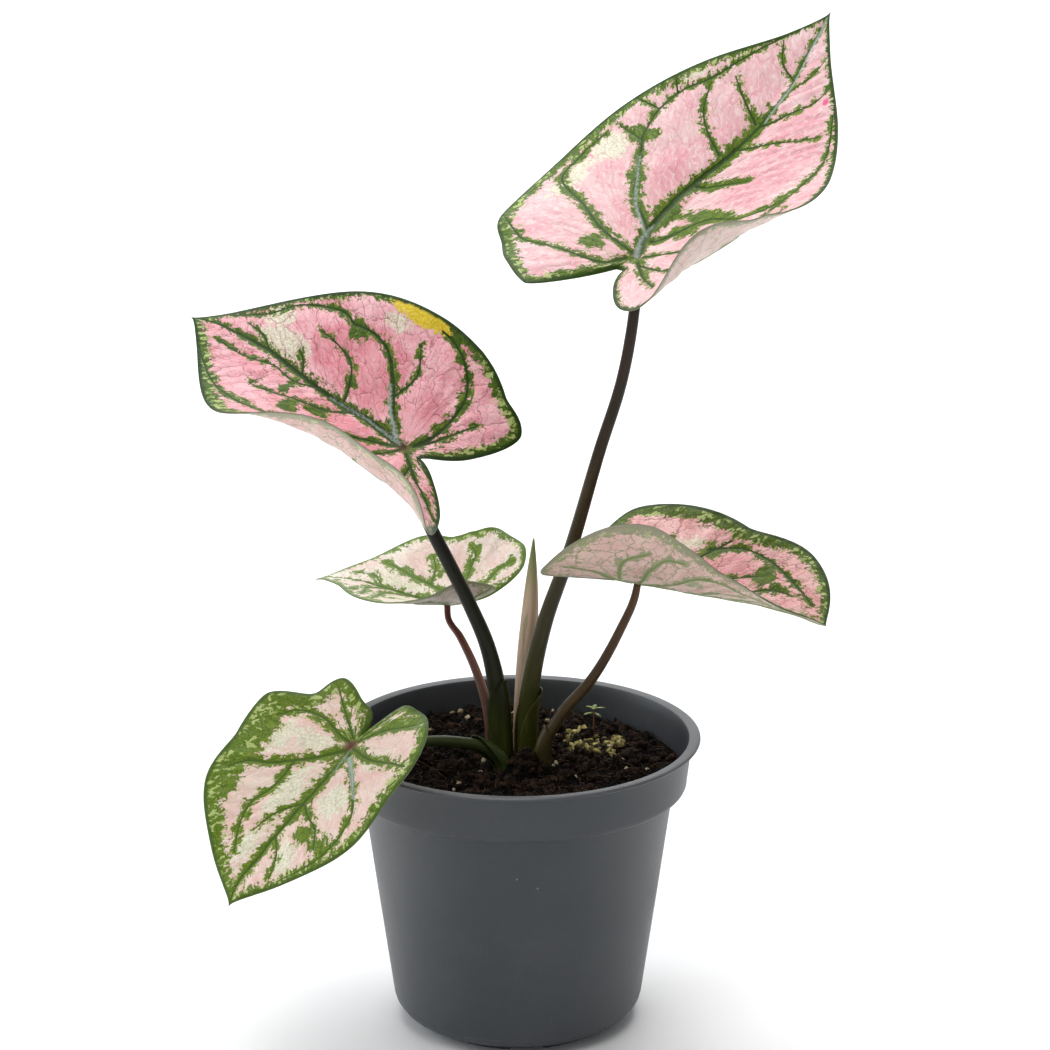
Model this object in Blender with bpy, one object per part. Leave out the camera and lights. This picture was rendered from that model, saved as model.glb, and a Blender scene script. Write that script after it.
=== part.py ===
"""A young caladium with five leaves and one furled leaf, in its round nursery pot.

The origin is the middle of the pot's foot. Z is up and -Y is the side the plant is seen from.
"""

import math

import bmesh
import bpy
import numpy as np

# Lengths below are in millimetres and angles in degrees. One millimetre in scene units:
MM = 0.001

# Pot: a thin moulded nursery pot with a deep collar and a rolled lip.
POT_HEIGHT = 98.0
LIP_RADIUS = 60.0
LIP_THICKNESS = 1.3
COLLAR_TOP_RADIUS = 57.2
COLLAR_FOOT_RADIUS = 55.7
COLLAR_FOOT_HEIGHT = 81.0
BODY_TOP_RADIUS = 51.3
BODY_FOOT_RADIUS = 41.4
BODY_FOOT_HEIGHT = 8.0
POT_WALL = 1.2
FLOOR_HEIGHT = 2.0
FOOT_OUTER_RADIUS = 33.2
FOOT_INNER_RADIUS = 29.0
FOOT_COUNT = 8
FOOT_GAP_ANGLE = 18.0
FIRST_GAP_ANGLE = -85.0
HUB_RADIUS = 7.0
DRAIN_RADIUS = 22.0
DRAIN_HOLE = 3.2
POT_SIDES = 64

# Soil: one lumpy plug that stands a little below the lip.
SOIL_GAP = 0.35
SOIL_EDGE_HEIGHT = 86.5
SOIL_MOUND = 2.6
SOIL_LUMP = 0.9
SOIL_RINGS = 9
SOIL_SIDES = 48
CLOD_PLACE = (1.5, -10.5)
CLOD_HEIGHT = 4.5
CLOD_RADIUS = 4.2
STEM_FOOT_HEIGHT = 79.5
HOLE_GAP = 0.4

# Leaves: every blade is a flat heart shape that is bent, folded and then turned.
BLADE_THICKNESS = 0.7
BLADE_RINGS = 7
BLADE_SPOKES = 48
STEM_SIDES = 10
STEM_STEPS = 24
STEM_TOP_GAP = 1.1
NECK_LENGTH = 4.5
CUP_SPAN = 40.0
EDGE_ANGLES = (0, 10, 25, 45, 70, 95, 120, 142, 158, 170, 180)
FOLD_PLACES = (-0.5, 0.3, 1.0)

# One entry a leaf. "edge" is the reach of the edge at EDGE_ANGLES as a share of the length, and
# three values of fold or cup hold for the back lobes, the middle and the tip.
LEAVES = {
    "1": dict(
        junction=(37.5, -4.7, 258.1),
        heading=-35.4,
        rise=19.7,
        roll=8.2,
        length=109.0,
        width=(0.85, 0.96),
        lobe=(0.63, 0.83),
        lift=(48, 4),
        lobe_turn=(20, -17),
        bow=25,
        fold_left=(13, 23, -3),
        fold_right=(12, 13, 10),
        cup_left=(-26, -28, 20),
        cup_right=(55, 12, -3),
        edge_left=(1.00, 0.87, 0.77, 0.67, 0.58, 0.55, 0.50, 0.53, 0.56, 0.13, 0.12),
        edge_right=(1.00, 0.87, 0.77, 0.67, 0.58, 0.55, 0.66, 0.53, 0.39, 0.23, 0.12),
        wave=(0.9, 7, 0.4),
        stem=((3.5, 0.5, 79.8), (3.0, 0.7, 102), (5, 0.2, 120), (9, -0.4, 137), (16, -1.1, 158),
              (26.3, -2.4, 195), (33.1, -3.2, 218), (36.7, -4.0, 240)),
        stem_radius=(3.1, 3.2, 3.0, 2.6, 2.3, 2.0, 1.9, 1.8, 1.6, 1.5),
    ),
    "2": dict(
        junction=(-36.9, 5.4, 193.5),
        heading=64.2,
        rise=28.1,
        roll=-21.5,
        length=84.0,
        width=(1.14, 0.92),
        lobe=(0.76, 0.69),
        lift=(11, -18),
        lobe_turn=(-50, 11),
        bow=-8,
        fold_left=(0, 4, -6),
        fold_right=(9, 19, -7),
        cup_left=(42, 47, -30),
        cup_right=(-8, 14, 2),
        edge_left=(1.00, 0.88, 0.78, 0.70, 0.60, 0.54, 0.64, 0.55, 0.43, 0.24, 0.12),
        edge_right=(1.00, 0.88, 0.78, 0.70, 0.60, 0.54, 0.52, 0.59, 0.36, 0.15, 0.12),
        wave=(0.7, 6, 1.0),
        stem=((-5.0, 2.0, 79.8), (-5.6, 2.2, 100), (-6.8, 2.6, 113), (-10, 3.1, 127.5), (-15.5, 3.6, 141),
              (-22, 4, 154.6), (-28.5, 4.5, 168), (-34.0, 5.0, 182)),
        stem_radius=(3.2, 3.2, 3.0, 2.6, 2.4, 2.3, 2.2, 2.0, 1.7, 1.5),
    ),
    "3": dict(
        junction=(-23.7, 34.0, 132.1),
        heading=68.8,
        rise=-6.5,
        roll=9.4,
        length=48.5,
        width=(1.02, 1.11),
        lobe=(1.00, 1.12),
        lift=(82, -93),
        lobe_turn=(29, 40),
        bow=-6,
        fold_left=(22, 2, 1),
        fold_right=(36, 29, 4),
        cup_left=(10, 2, -1),
        cup_right=(16, 29, 9),
        edge_left=(1.00, 0.90, 0.77, 0.73, 0.58, 0.57, 0.60, 0.58, 0.50, 0.22, 0.12),
        edge_right=(1.00, 0.90, 0.77, 0.73, 0.58, 0.57, 0.65, 0.64, 0.56, 0.31, 0.12),
        wave=(0.7, 8, 0.0),
        stem=((-9.0, 9.6, 79.8), (-9.1, 9.8, 88), (-9.3, 10.6, 98), (-13.2, 17, 112), (-19.2, 26.5, 122.5)),
        stem_radius=(1.9, 1.9, 1.8, 1.5, 1.3, 1.1, 1.1),
    ),
    "4": dict(
        junction=(38.8, -4.7, 151.5),
        heading=-94.0,
        rise=-10.9,
        roll=-6.6,
        length=63.1,
        width=(1.10, 1.09),
        lobe=(0.99, 1.01),
        lift=(21, -29),
        lobe_turn=(-26, -43),
        bow=25,
        fold_left=(-6, 25, 34),
        fold_right=(13, 12, 18),
        cup_left=(-3, 29, 19),
        cup_right=(19, 42, -40),
        edge_left=(1.00, 0.97, 0.86, 0.64, 0.60, 0.61, 0.51, 0.58, 0.53, 0.30, 0.12),
        edge_right=(1.00, 0.97, 0.86, 0.64, 0.60, 0.61, 0.61, 0.56, 0.51, 0.30, 0.12),
        wave=(0.8, 7, 2.0),
        stem=((7.4, -6.2, 79.8), (7.7, -5.9, 87), (8.4, -5.4, 95), (14.2, -4.2, 106), (24.0, -3.7, 118), (33.4, -4.2, 135.5)),
        stem_radius=(2.3, 2.3, 2.2, 1.9, 1.7, 1.5, 1.3, 1.2),
    ),
    "5": dict(
        junction=(-52.5, -34.9, 106.5),
        heading=138.1,
        rise=-30.0,
        roll=1.6,
        length=66.0,
        width=(0.94, 1.00),
        lobe=(0.71, 0.76),
        lift=(5, -26),
        lobe_turn=(-18, -14),
        bow=4,
        fold_left=(18, 8, -2),
        fold_right=(7, 8, 10),
        cup_left=(15, -2, -17),
        cup_right=(6, 14, 1),
        edge_left=(1.00, 0.90, 0.80, 0.73, 0.60, 0.59, 0.52, 0.39, 0.42, 0.29, 0.12),
        edge_right=(1.00, 0.90, 0.80, 0.73, 0.60, 0.59, 0.46, 0.55, 0.36, 0.29, 0.12),
        wave=(0.8, 7, 1.5),
        stem=((-5.0, -6.2, 79.8), (-5.2, -6.3, 85), (-5.8, -6.6, 91), (-9.6, -8.4, 95.5), (-18.7, -13.5, 99.8), (-29, -20, 102.6),
              (-41, -27.5, 103.4)),
        stem_radius=(2.4, 2.4, 2.3, 2.1, 1.9, 1.7, 1.5, 1.4, 1.3),
    ),
}

# Spear: the newest leaf, still rolled up tight.
SPEAR_PATH = ((0.6, 9.6, 79.8), (1.4, 8.8, 99.6), (3.0, 8.2, 120.7), (4.2, 7.2, 141.7), (5.2, 6.2, 163.0))
SPEAR_RADIUS = (2.3, 2.9, 3.5, 2.6, 0.35)

COLOURS = {
    "pot": ((0.055, 0.062, 0.070), 0.5),
    "soil": ((0.020, 0.013, 0.009), 0.95),
    "blade_1": ((0.74, 0.42, 0.42), 0.5),
    "blade_2": ((0.66, 0.30, 0.31), 0.5),
    "blade_3": ((0.66, 0.60, 0.48), 0.5),
    "blade_4": ((0.52, 0.34, 0.30), 0.5),
    "blade_5": ((0.40, 0.42, 0.22), 0.5),
    "petiole_1": ((0.055, 0.040, 0.028), 0.45),
    "petiole_2": ((0.022, 0.026, 0.016), 0.45),
    "petiole_3": ((0.13, 0.060, 0.040), 0.45),
    "petiole_4": ((0.085, 0.050, 0.035), 0.45),
    "petiole_5": ((0.060, 0.080, 0.030), 0.45),
    "spear": ((0.46, 0.32, 0.22), 0.45),
}


def clear_scene():
    for obj in list(bpy.data.objects):
        bpy.data.objects.remove(obj, do_unlink=True)


def make_material(name):
    colour, roughness = COLOURS[name]
    material = bpy.data.materials.new(name + "_material")
    material.use_nodes = True
    shader = material.node_tree.nodes["Principled BSDF"]
    shader.inputs["Base Color"].default_value = (*colour, 1.0)
    shader.inputs["Roughness"].default_value = roughness
    shader.inputs["Metallic"].default_value = 0.0
    return material


def add_solid(name, points, faces, cutter=False):
    """A mesh object from points in millimetres, with its faces turned outward."""
    mesh = bpy.data.meshes.new(name)
    mesh.from_pydata([tuple(float(c) * MM for c in p) for p in points], [], faces)
    work = bmesh.new()
    work.from_mesh(mesh)
    bmesh.ops.recalc_face_normals(work, faces=work.faces)
    work.to_mesh(mesh)
    work.free()
    obj = bpy.data.objects.new(name, mesh)
    bpy.context.scene.collection.objects.link(obj)
    if cutter:
        obj.hide_render = True
        obj.display_type = "WIRE"
    else:
        mesh.materials.append(make_material(name))
    return obj


def cut(obj, cutter):
    modifier = obj.modifiers.new("cut_" + cutter.name, "BOOLEAN")
    modifier.operation = "DIFFERENCE"
    modifier.solver = "EXACT"
    modifier.object = cutter


def turned(profile, sides, height_shift=None):
    """Points and faces of a profile of (radius, height) turned about Z. Radius 0 makes one point."""
    points, faces, rows = [], [], []
    for radius, height in profile:
        if radius == 0:
            rows.append([len(points)] * sides)
            points.append((0.0, 0.0, height))
            continue
        rows.append(list(range(len(points), len(points) + sides)))
        for i in range(sides):
            angle = 2 * math.pi * i / sides
            points.append((radius * math.cos(angle), radius * math.sin(angle), height))
    for low, high in zip(rows, rows[1:]):
        for i in range(sides):
            j = (i + 1) % sides
            face = [low[i], low[j], high[j], high[i]]
            faces.append([v for k, v in enumerate(face) if v != face[k - 1]])
    if height_shift:
        points = [(x, y, z + height_shift(x, y, z)) for x, y, z in points]
    return points, faces


def wedge(inner, outer, middle, span, low, high):
    """A piece of ring between two radii that spans an angle about its middle angle."""
    points = []
    for height in (low, high):
        for radius, side in ((inner, -1), (outer, -1), (outer, 1), (inner, 1)):
            angle = math.radians(middle + side * span / 2)
            points.append((radius * math.cos(angle), radius * math.sin(angle), height))
    faces = [[3, 2, 1, 0], [4, 5, 6, 7], [0, 1, 5, 4], [1, 2, 6, 5], [2, 3, 7, 6], [3, 0, 4, 7]]
    return points, faces


def drum(x, y, radius, low, high, sides):
    points = []
    for height in (low, high):
        for i in range(sides):
            angle = 2 * math.pi * i / sides
            points.append((x + radius * math.cos(angle), y + radius * math.sin(angle), height))
    faces = [list(range(sides))[::-1], list(range(sides, 2 * sides))]
    for i in range(sides):
        j = (i + 1) % sides
        faces.append([i, j, j + sides, i + sides])
    return points, faces


def joined(pieces):
    points, faces = [], []
    for more_points, more_faces in pieces:
        faces += [[v + len(points) for v in face] for face in more_faces]
        points += more_points
    return points, faces


def make_pot():
    lip_foot = POT_HEIGHT - LIP_THICKNESS
    outside = [
        (0, 0),
        (HUB_RADIUS, 0),
        (HUB_RADIUS, FLOOR_HEIGHT),
        (FOOT_INNER_RADIUS, FLOOR_HEIGHT),
        (FOOT_INNER_RADIUS + 0.4, 0),
        (FOOT_OUTER_RADIUS - 1.0, 0),
        (FOOT_OUTER_RADIUS, FLOOR_HEIGHT),
        (FOOT_OUTER_RADIUS + 2.6, FLOOR_HEIGHT + 0.5),
        (BODY_FOOT_RADIUS - 2.4, FLOOR_HEIGHT + 2.2),
        (BODY_FOOT_RADIUS - 0.6, BODY_FOOT_HEIGHT - 2.2),
        (BODY_FOOT_RADIUS, BODY_FOOT_HEIGHT),
        (BODY_TOP_RADIUS, COLLAR_FOOT_HEIGHT),
        (COLLAR_FOOT_RADIUS - 1.6, COLLAR_FOOT_HEIGHT),
        (COLLAR_FOOT_RADIUS - 0.4, COLLAR_FOOT_HEIGHT + 0.5),
        (COLLAR_FOOT_RADIUS, COLLAR_FOOT_HEIGHT + 1.7),
        (COLLAR_TOP_RADIUS, lip_foot),
        (LIP_RADIUS - 0.3, lip_foot),
        (LIP_RADIUS, lip_foot + 0.4),
        (LIP_RADIUS, POT_HEIGHT - 0.4),
        (LIP_RADIUS - 0.4, POT_HEIGHT),
    ]
    inside = [
        (COLLAR_TOP_RADIUS - POT_WALL + 0.3, POT_HEIGHT),
        (COLLAR_TOP_RADIUS - POT_WALL - 0.1, POT_HEIGHT - 0.4),
        (COLLAR_FOOT_RADIUS - POT_WALL, COLLAR_FOOT_HEIGHT + 2.6),
        (COLLAR_FOOT_RADIUS - POT_WALL - 1.2, COLLAR_FOOT_HEIGHT + POT_WALL),
        (BODY_TOP_RADIUS - POT_WALL, COLLAR_FOOT_HEIGHT + POT_WALL),
        (BODY_FOOT_RADIUS - POT_WALL, BODY_FOOT_HEIGHT),
        (BODY_FOOT_RADIUS - POT_WALL - 2.6, FLOOR_HEIGHT + POT_WALL + 1.0),
        (FOOT_OUTER_RADIUS, FLOOR_HEIGHT + POT_WALL),
        (0, FLOOR_HEIGHT + POT_WALL),
    ]
    pot = add_solid("pot", *turned(outside + inside, POT_SIDES))
    step = 360 / FOOT_COUNT
    gaps = [
        wedge(FOOT_INNER_RADIUS - 2, FOOT_OUTER_RADIUS + 0.5, FIRST_GAP_ANGLE + i * step, FOOT_GAP_ANGLE, -1, FLOOR_HEIGHT)
        for i in range(FOOT_COUNT)
    ]
    cut(pot, add_solid("foot_gaps", *joined(gaps), cutter=True))
    holes = []
    for i in range(FOOT_COUNT):
        angle = math.radians(FIRST_GAP_ANGLE + i * step)
        x, y = DRAIN_RADIUS * math.cos(angle), DRAIN_RADIUS * math.sin(angle)
        holes.append(drum(x, y, DRAIN_HOLE, 0, FLOOR_HEIGHT + 2 * POT_WALL, 12))
    cut(pot, add_solid("drain_holes", *joined(holes), cutter=True))


def soil_rise(x, y, z):
    """How far the top of the soil stands above its edge height at a place."""
    if z < SOIL_EDGE_HEIGHT - 0.1:
        return 0.0
    radius = math.hypot(x, y)
    share = max(0.0, 1 - (radius / 54.0) ** 2)
    mound = SOIL_MOUND * share
    lumps = math.sin(0.42 * x + 0.9) * math.cos(0.37 * y - 0.4) + 0.6 * math.sin(0.23 * x - 0.51 * y + 2.0)
    slope = -0.018 * x + 0.012 * y
    clod = CLOD_HEIGHT * math.exp(-((x - CLOD_PLACE[0]) ** 2 + (y - CLOD_PLACE[1]) ** 2) / CLOD_RADIUS**2)
    return mound + SOIL_LUMP * lumps * min(1.0, 3 * share + 0.25) + slope + clod


def make_soil():
    collar = COLLAR_FOOT_RADIUS - POT_WALL - SOIL_GAP
    step_height = COLLAR_FOOT_HEIGHT + POT_WALL + SOIL_GAP
    profile = [
        (0, FLOOR_HEIGHT + POT_WALL + SOIL_GAP),
        (FOOT_OUTER_RADIUS - 0.3, FLOOR_HEIGHT + POT_WALL + SOIL_GAP),
        (BODY_FOOT_RADIUS - POT_WALL - 3.0, FLOOR_HEIGHT + POT_WALL + 1.0 + SOIL_GAP),
        (BODY_FOOT_RADIUS - POT_WALL - SOIL_GAP - 0.1, BODY_FOOT_HEIGHT),
        (BODY_TOP_RADIUS - POT_WALL - SOIL_GAP - 0.05, step_height),
        (collar - 1.3, step_height),
        (collar, COLLAR_FOOT_HEIGHT + 2.9),
    ]
    for i in range(SOIL_RINGS + 1):
        profile.append(((collar + 0.05) * (1 - i / SOIL_RINGS), SOIL_EDGE_HEIGHT))
    soil = add_solid("soil", *turned(profile, SOIL_SIDES, soil_rise))
    holes = []
    feet = [(leaf["stem"][0], leaf["stem"][1], leaf["stem_radius"]) for leaf in LEAVES.values()]
    feet.append((SPEAR_PATH[0], SPEAR_PATH[1], SPEAR_RADIUS))
    for foot, following, radii in feet:
        holes.append(stem_hole(foot, following, max(radii[0], radii[1]) + HOLE_GAP))
    cut(soil, add_solid("stem_holes", *joined(holes), cutter=True))


def stem_hole(foot, following, radius):
    """A plain leaning hole that follows the lowest stretch of a stem."""
    foot, following = np.array(foot, float), np.array(following, float)
    lean = (following - foot) / (following[2] - foot[2])
    points = []
    sides = 20
    for height in (STEM_FOOT_HEIGHT - 0.1, SOIL_EDGE_HEIGHT + 12):
        middle = foot + lean * (height - foot[2])
        for i in range(sides):
            angle = 2 * math.pi * i / sides
            points.append((middle[0] + radius * math.cos(angle), middle[1] + radius * math.sin(angle), height))
    faces = [list(range(sides))[::-1], list(range(sides, 2 * sides))]
    for i in range(sides):
        j = (i + 1) % sides
        faces.append([i, j, j + sides, i + sides])
    return points, faces


def smooth_between(places, values, wanted):
    """Cubic interpolation that never swings past the given values."""
    x, y = np.array(places, float), np.array(values, float)
    h = np.diff(x)
    rate = np.diff(y) / h
    slope = np.zeros_like(y)
    for i in range(1, len(x) - 1):
        if rate[i - 1] * rate[i] > 0:
            a, b = 2 * h[i] + h[i - 1], h[i] + 2 * h[i - 1]
            slope[i] = (a + b) / (a / rate[i - 1] + b / rate[i])
    for end, near, far in ((0, 0, 1), (-1, -1, -2)):
        first = ((2 * h[near] + h[far]) * rate[near] - h[near] * rate[far]) / (h[near] + h[far])
        if first * rate[near] <= 0:
            first = 0.0
        elif rate[near] * rate[far] <= 0 and abs(first) > 3 * abs(rate[near]):
            first = 3 * rate[near]
        slope[end] = first
    k = np.clip(np.searchsorted(x, wanted, side="right") - 1, 0, len(h) - 1)
    t = (wanted - x[k]) / h[k]
    return (
        y[k] * (2 * t**3 - 3 * t**2 + 1)
        + y[k + 1] * (3 * t**2 - 2 * t**3)
        + slope[k] * h[k] * (t**3 - 2 * t**2 + t)
        + slope[k + 1] * h[k] * (t**3 - t**2)
    )


def three_way(values, place):
    """The value at a place along the leaf, from those at its lobes, middle and tip, in radians."""
    a, b, c = (math.radians(v) for v in values)
    p, q, r = FOLD_PLACES
    return (
        a * (place - q) * (place - r) / ((p - q) * (p - r))
        + b * (place - p) * (place - r) / ((q - p) * (q - r))
        + c * (place - p) * (place - q) / ((r - p) * (r - q))
    )


def midrib(leaf, lobe_turn):
    """Places, points, pitch and heading along the bent midrib, for one side of the leaf."""
    length = leaf["length"]
    along = np.linspace(-0.9 * length, length, 400)
    share = along / length
    front, back = np.maximum(share, 0), np.minimum(share, 0)
    pitch = math.radians(leaf["lift"][0]) * front + math.radians(leaf["lift"][1]) * front**2
    pitch = pitch + math.radians(lobe_turn) * back
    head = math.radians(leaf["bow"]) * front
    way = np.stack([np.sin(head) * np.cos(pitch), np.cos(head) * np.cos(pitch), np.sin(pitch)], -1)
    points = np.cumsum(way, 0) * (along[1] - along[0])
    start = int(np.argmin(abs(along)))
    points = points - points[start] - way[start] * along[start]
    return along, points, pitch, head


def bend(leaf, x, y):
    """Bends the flat pattern point (x, y) and turns it into its place on the plant."""
    along, left, left_pitch, head = midrib(leaf, leaf["lobe_turn"][0])
    _, right, right_pitch, _ = midrib(leaf, leaf["lobe_turn"][1])
    share = np.clip((x + 5) / 10, 0, 1)
    share = share * share * (3 - 2 * share)
    rib = np.stack([np.interp(y, along, left[:, i]) * (1 - share) + np.interp(y, along, right[:, i]) * share for i in range(3)], -1)
    pitch = np.interp(y, along, left_pitch) * (1 - share) + np.interp(y, along, right_pitch) * share
    head = np.interp(y, along, head)
    way = np.stack([np.sin(head) * np.cos(pitch), np.cos(head) * np.cos(pitch), np.sin(pitch)], -1)
    side = np.stack([np.cos(head), -np.sin(head), 0 * head], -1)
    up = np.cross(side, way)
    place = y / leaf["length"]
    fold = np.where(x < 0, three_way(leaf["fold_left"], place), three_way(leaf["fold_right"], place))
    cup = np.where(x < 0, three_way(leaf["cup_left"], place), three_way(leaf["cup_right"], place)) / CUP_SPAN
    cup = np.where(abs(cup) < 1e-5, 1e-5, cup)
    out = (np.sin(fold + cup * abs(x)) - np.sin(fold)) / cup
    rise = (np.cos(fold) - np.cos(fold + cup * abs(x))) / cup
    bent = rib + side * (np.sign(x) * out)[..., None] + up * rise[..., None]
    return bent @ leaf_turn(leaf).T + np.array(leaf["junction"])


def leaf_turn(leaf):
    heading, rise, roll = (math.radians(leaf[key]) for key in ("heading", "rise", "roll"))
    c, s = math.cos(heading), math.sin(heading)
    about_z = np.array([[c, -s, 0], [s, c, 0], [0, 0, 1]])
    c, s = math.cos(rise), math.sin(rise)
    about_x = np.array([[1, 0, 0], [0, c, -s], [0, s, c]])
    c, s = math.cos(roll), math.sin(roll)
    about_y = np.array([[c, 0, s], [0, 1, 0], [-s, 0, c]])
    return about_z @ about_x @ about_y


def blade_sheet(leaf):
    """Middle sheet of a blade: its junction point, then rings of points out to the edge."""
    angles = np.linspace(-math.pi, math.pi, BLADE_SPOKES + 1)[1:]
    steps = np.linspace(0, 1, BLADE_RINGS + 1)[1:]
    turn = np.degrees(abs(angles))
    left = smooth_between(EDGE_ANGLES, leaf["edge_left"], turn)
    right = smooth_between(EDGE_ANGLES, leaf["edge_right"], turn)
    reach = np.where(angles < 0, left, right) * leaf["length"]
    width = np.where(angles < 0, leaf["width"][0], leaf["width"][1])
    lobe = np.where(angles < 0, leaf["lobe"][0], leaf["lobe"][1])
    x = steps[:, None] * reach * np.sin(angles) * width
    y = steps[:, None] * reach * np.cos(angles)
    y = np.where(y < 0, y * lobe, y)
    sheet = bend(leaf, x, y)
    size, count, phase = leaf["wave"]
    wave = size * np.sin(count * angles + phase) * np.sin(angles / 2) ** 2 * steps[:, None] ** 3
    return sheet + wave[..., None] * leaf_turn(leaf)[:, 2]


def make_blade(name, leaf):
    sheet = blade_sheet(leaf)
    rings, spokes = sheet.shape[:2]
    points = np.vstack([np.array(leaf["junction"])[None], sheet.reshape(-1, 3)])
    faces = []
    for i in range(spokes):
        j = (i + 1) % spokes
        faces.append((0, 1 + j, 1 + i))
        for ring in range(rings - 1):
            a, b = 1 + ring * spokes + i, 1 + ring * spokes + j
            c, d = b + spokes, a + spokes
            faces += [(a, b, c), (a, c, d)]
    faces = np.array(faces)
    corners = points[faces]
    flat = np.cross(corners[:, 1] - corners[:, 0], corners[:, 2] - corners[:, 0])
    normals = np.zeros_like(points)
    for k in range(3):
        np.add.at(normals, faces[:, k], flat)
    normals /= np.linalg.norm(normals, axis=1)[:, None]
    count = len(points)
    both = np.vstack([points + normals * BLADE_THICKNESS / 2, points - normals * BLADE_THICKNESS / 2])
    solid = [tuple(int(v) for v in face) for face in faces]
    solid += [tuple(int(v) + count for v in face[::-1]) for face in faces]
    edge = 1 + (rings - 1) * spokes
    for i in range(spokes):
        a, b = edge + i, edge + (i + 1) % spokes
        solid += [(a, a + count, b + count), (a, b + count, b)]
    add_solid(name, both, solid)


def curve_points(path, steps):
    """Points along a smooth curve through the path, and each one's share of the way."""
    path = np.array(path, float)
    lengths = np.concatenate([[0], np.cumsum(np.linalg.norm(np.diff(path, axis=0), axis=1))])
    wanted = np.linspace(0, lengths[-1], steps + 1)
    slopes = np.gradient(path, lengths, axis=0)
    points = []
    for t in wanted:
        k = min(int(np.searchsorted(lengths, t, side="right")) - 1, len(path) - 2)
        h = lengths[k + 1] - lengths[k]
        u = (t - lengths[k]) / h
        points.append(
            path[k] * (2 * u**3 - 3 * u**2 + 1)
            + path[k + 1] * (3 * u**2 - 2 * u**3)
            + slopes[k] * h * (u**3 - 2 * u**2 + u)
            + slopes[k + 1] * h * (u**3 - u**2)
        )
    return np.array(points), wanted, lengths


def make_stem(name, path, radii):
    """A round stem along the path, one radius for each point of it."""
    points, wanted, lengths = curve_points(path, STEM_STEPS)
    radius = smooth_between(lengths, radii, wanted)
    ways = np.gradient(points, axis=0)
    ways /= np.linalg.norm(ways, axis=1)[:, None]
    side = np.array([1.0, 0.0, 0.0])
    rings = []
    for point, way, size in zip(points, ways, radius):
        side = side - way * side.dot(way)
        side /= np.linalg.norm(side)
        other = np.cross(way, side)
        for i in range(STEM_SIDES):
            angle = 2 * math.pi * i / STEM_SIDES
            rings.append(point + size * (math.cos(angle) * side + math.sin(angle) * other))
    faces = [list(range(STEM_SIDES))[::-1]]
    faces.append(list(range(STEM_STEPS * STEM_SIDES, (STEM_STEPS + 1) * STEM_SIDES)))
    for step in range(STEM_STEPS):
        for i in range(STEM_SIDES):
            a, b = step * STEM_SIDES + i, step * STEM_SIDES + (i + 1) % STEM_SIDES
            faces.append((a, b, b + STEM_SIDES, a + STEM_SIDES))
    add_solid(name, rings, faces)


def make_leaf(number, leaf):
    make_blade("blade_" + number, leaf)
    below = -leaf_turn(leaf)[:, 2]
    junction = np.array(leaf["junction"])
    path = list(leaf["stem"]) + [tuple(junction + below * reach) for reach in (NECK_LENGTH, STEM_TOP_GAP)]
    make_stem("petiole_" + number, path, leaf["stem_radius"])


clear_scene()
make_pot()
make_soil()
for leaf_number, leaf_values in LEAVES.items():
    make_leaf(leaf_number, leaf_values)
make_stem("spear", SPEAR_PATH, SPEAR_RADIUS)
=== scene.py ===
"""A young caladium in its nursery pot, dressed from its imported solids.

Lengths are in millimetres, except where a tree of nodes or a light reads metres.
"""

import math
from functools import partial

import bmesh
import bpy
import numpy as np
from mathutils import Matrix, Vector, geometry, kdtree, noise


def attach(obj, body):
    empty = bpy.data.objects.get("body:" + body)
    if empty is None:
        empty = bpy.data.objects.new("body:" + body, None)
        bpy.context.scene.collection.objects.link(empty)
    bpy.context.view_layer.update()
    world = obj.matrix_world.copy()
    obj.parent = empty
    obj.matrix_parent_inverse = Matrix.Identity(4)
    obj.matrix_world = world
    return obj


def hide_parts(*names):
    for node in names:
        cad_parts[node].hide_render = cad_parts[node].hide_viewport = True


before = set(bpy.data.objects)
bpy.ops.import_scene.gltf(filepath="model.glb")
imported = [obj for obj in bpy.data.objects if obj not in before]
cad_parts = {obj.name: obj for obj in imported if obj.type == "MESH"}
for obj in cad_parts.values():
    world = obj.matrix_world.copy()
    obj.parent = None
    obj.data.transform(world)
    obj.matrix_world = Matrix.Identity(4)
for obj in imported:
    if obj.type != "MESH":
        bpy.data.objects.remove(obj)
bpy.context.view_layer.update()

MM = 0.001


# Pot: a thin-walled nursery pot, injection moulded in blue-grey plastic with a matt skin.
# One turned form from foot to lip, then the foot ring is notched into eight feet and
# drain holes are cut through the floor. The profile gives its radius and height.

POT_SIDES = 240
POT_SHARP_EDGE = 38
POT_PROFILE = (
    (0, 0), (7, 0), (7, 2.0), (29.0, 2.0), (29.4, 0), (32.2, 0), (32.9, 0.5), (33.2, 2.0), (34.4, 2.05),
    (36.2, 2.55), (37.8, 3.3), (39.2, 4.4), (40.1, 5.6), (40.7, 6.8), (40.95, 7.0), (41.0, 7.4),
    (41.4, 8.6), (46.2, 43.0), (51.3, 80.6), (51.5, 81.0), (53.6, 81.0), (54.7, 81.2), (55.3, 81.7),
    (55.65, 82.5), (55.75, 83.6), (56.5, 90.0), (57.1, 95.6), (57.4, 96.4), (58.0, 96.75), (59.2, 96.8),
    (59.75, 97.0), (60.0, 97.35), (59.95, 97.7), (59.6, 97.95), (58.9, 98.0), (57.0, 97.9), (56.4, 97.75),
    (56.1, 97.3), (55.7, 94.0), (55.5, 93.4), (54.5, 83.8), (54.2, 82.8), (53.3, 82.2), (50.1, 82.2),
    (40.2, 8.0), (37.6, 4.2), (33.2, 3.2), (0, 3.2),
)
FOOT_COUNT = 8
FOOT_GAP_ANGLE = 18.0
FIRST_GAP_ANGLE = -85.0
FOOT_HEIGHT = 2.0
DRAIN_RADIUS = 22.0
DRAIN_HOLE = 3.2
DRAIN_HOLE_SIDES = 24


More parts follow.
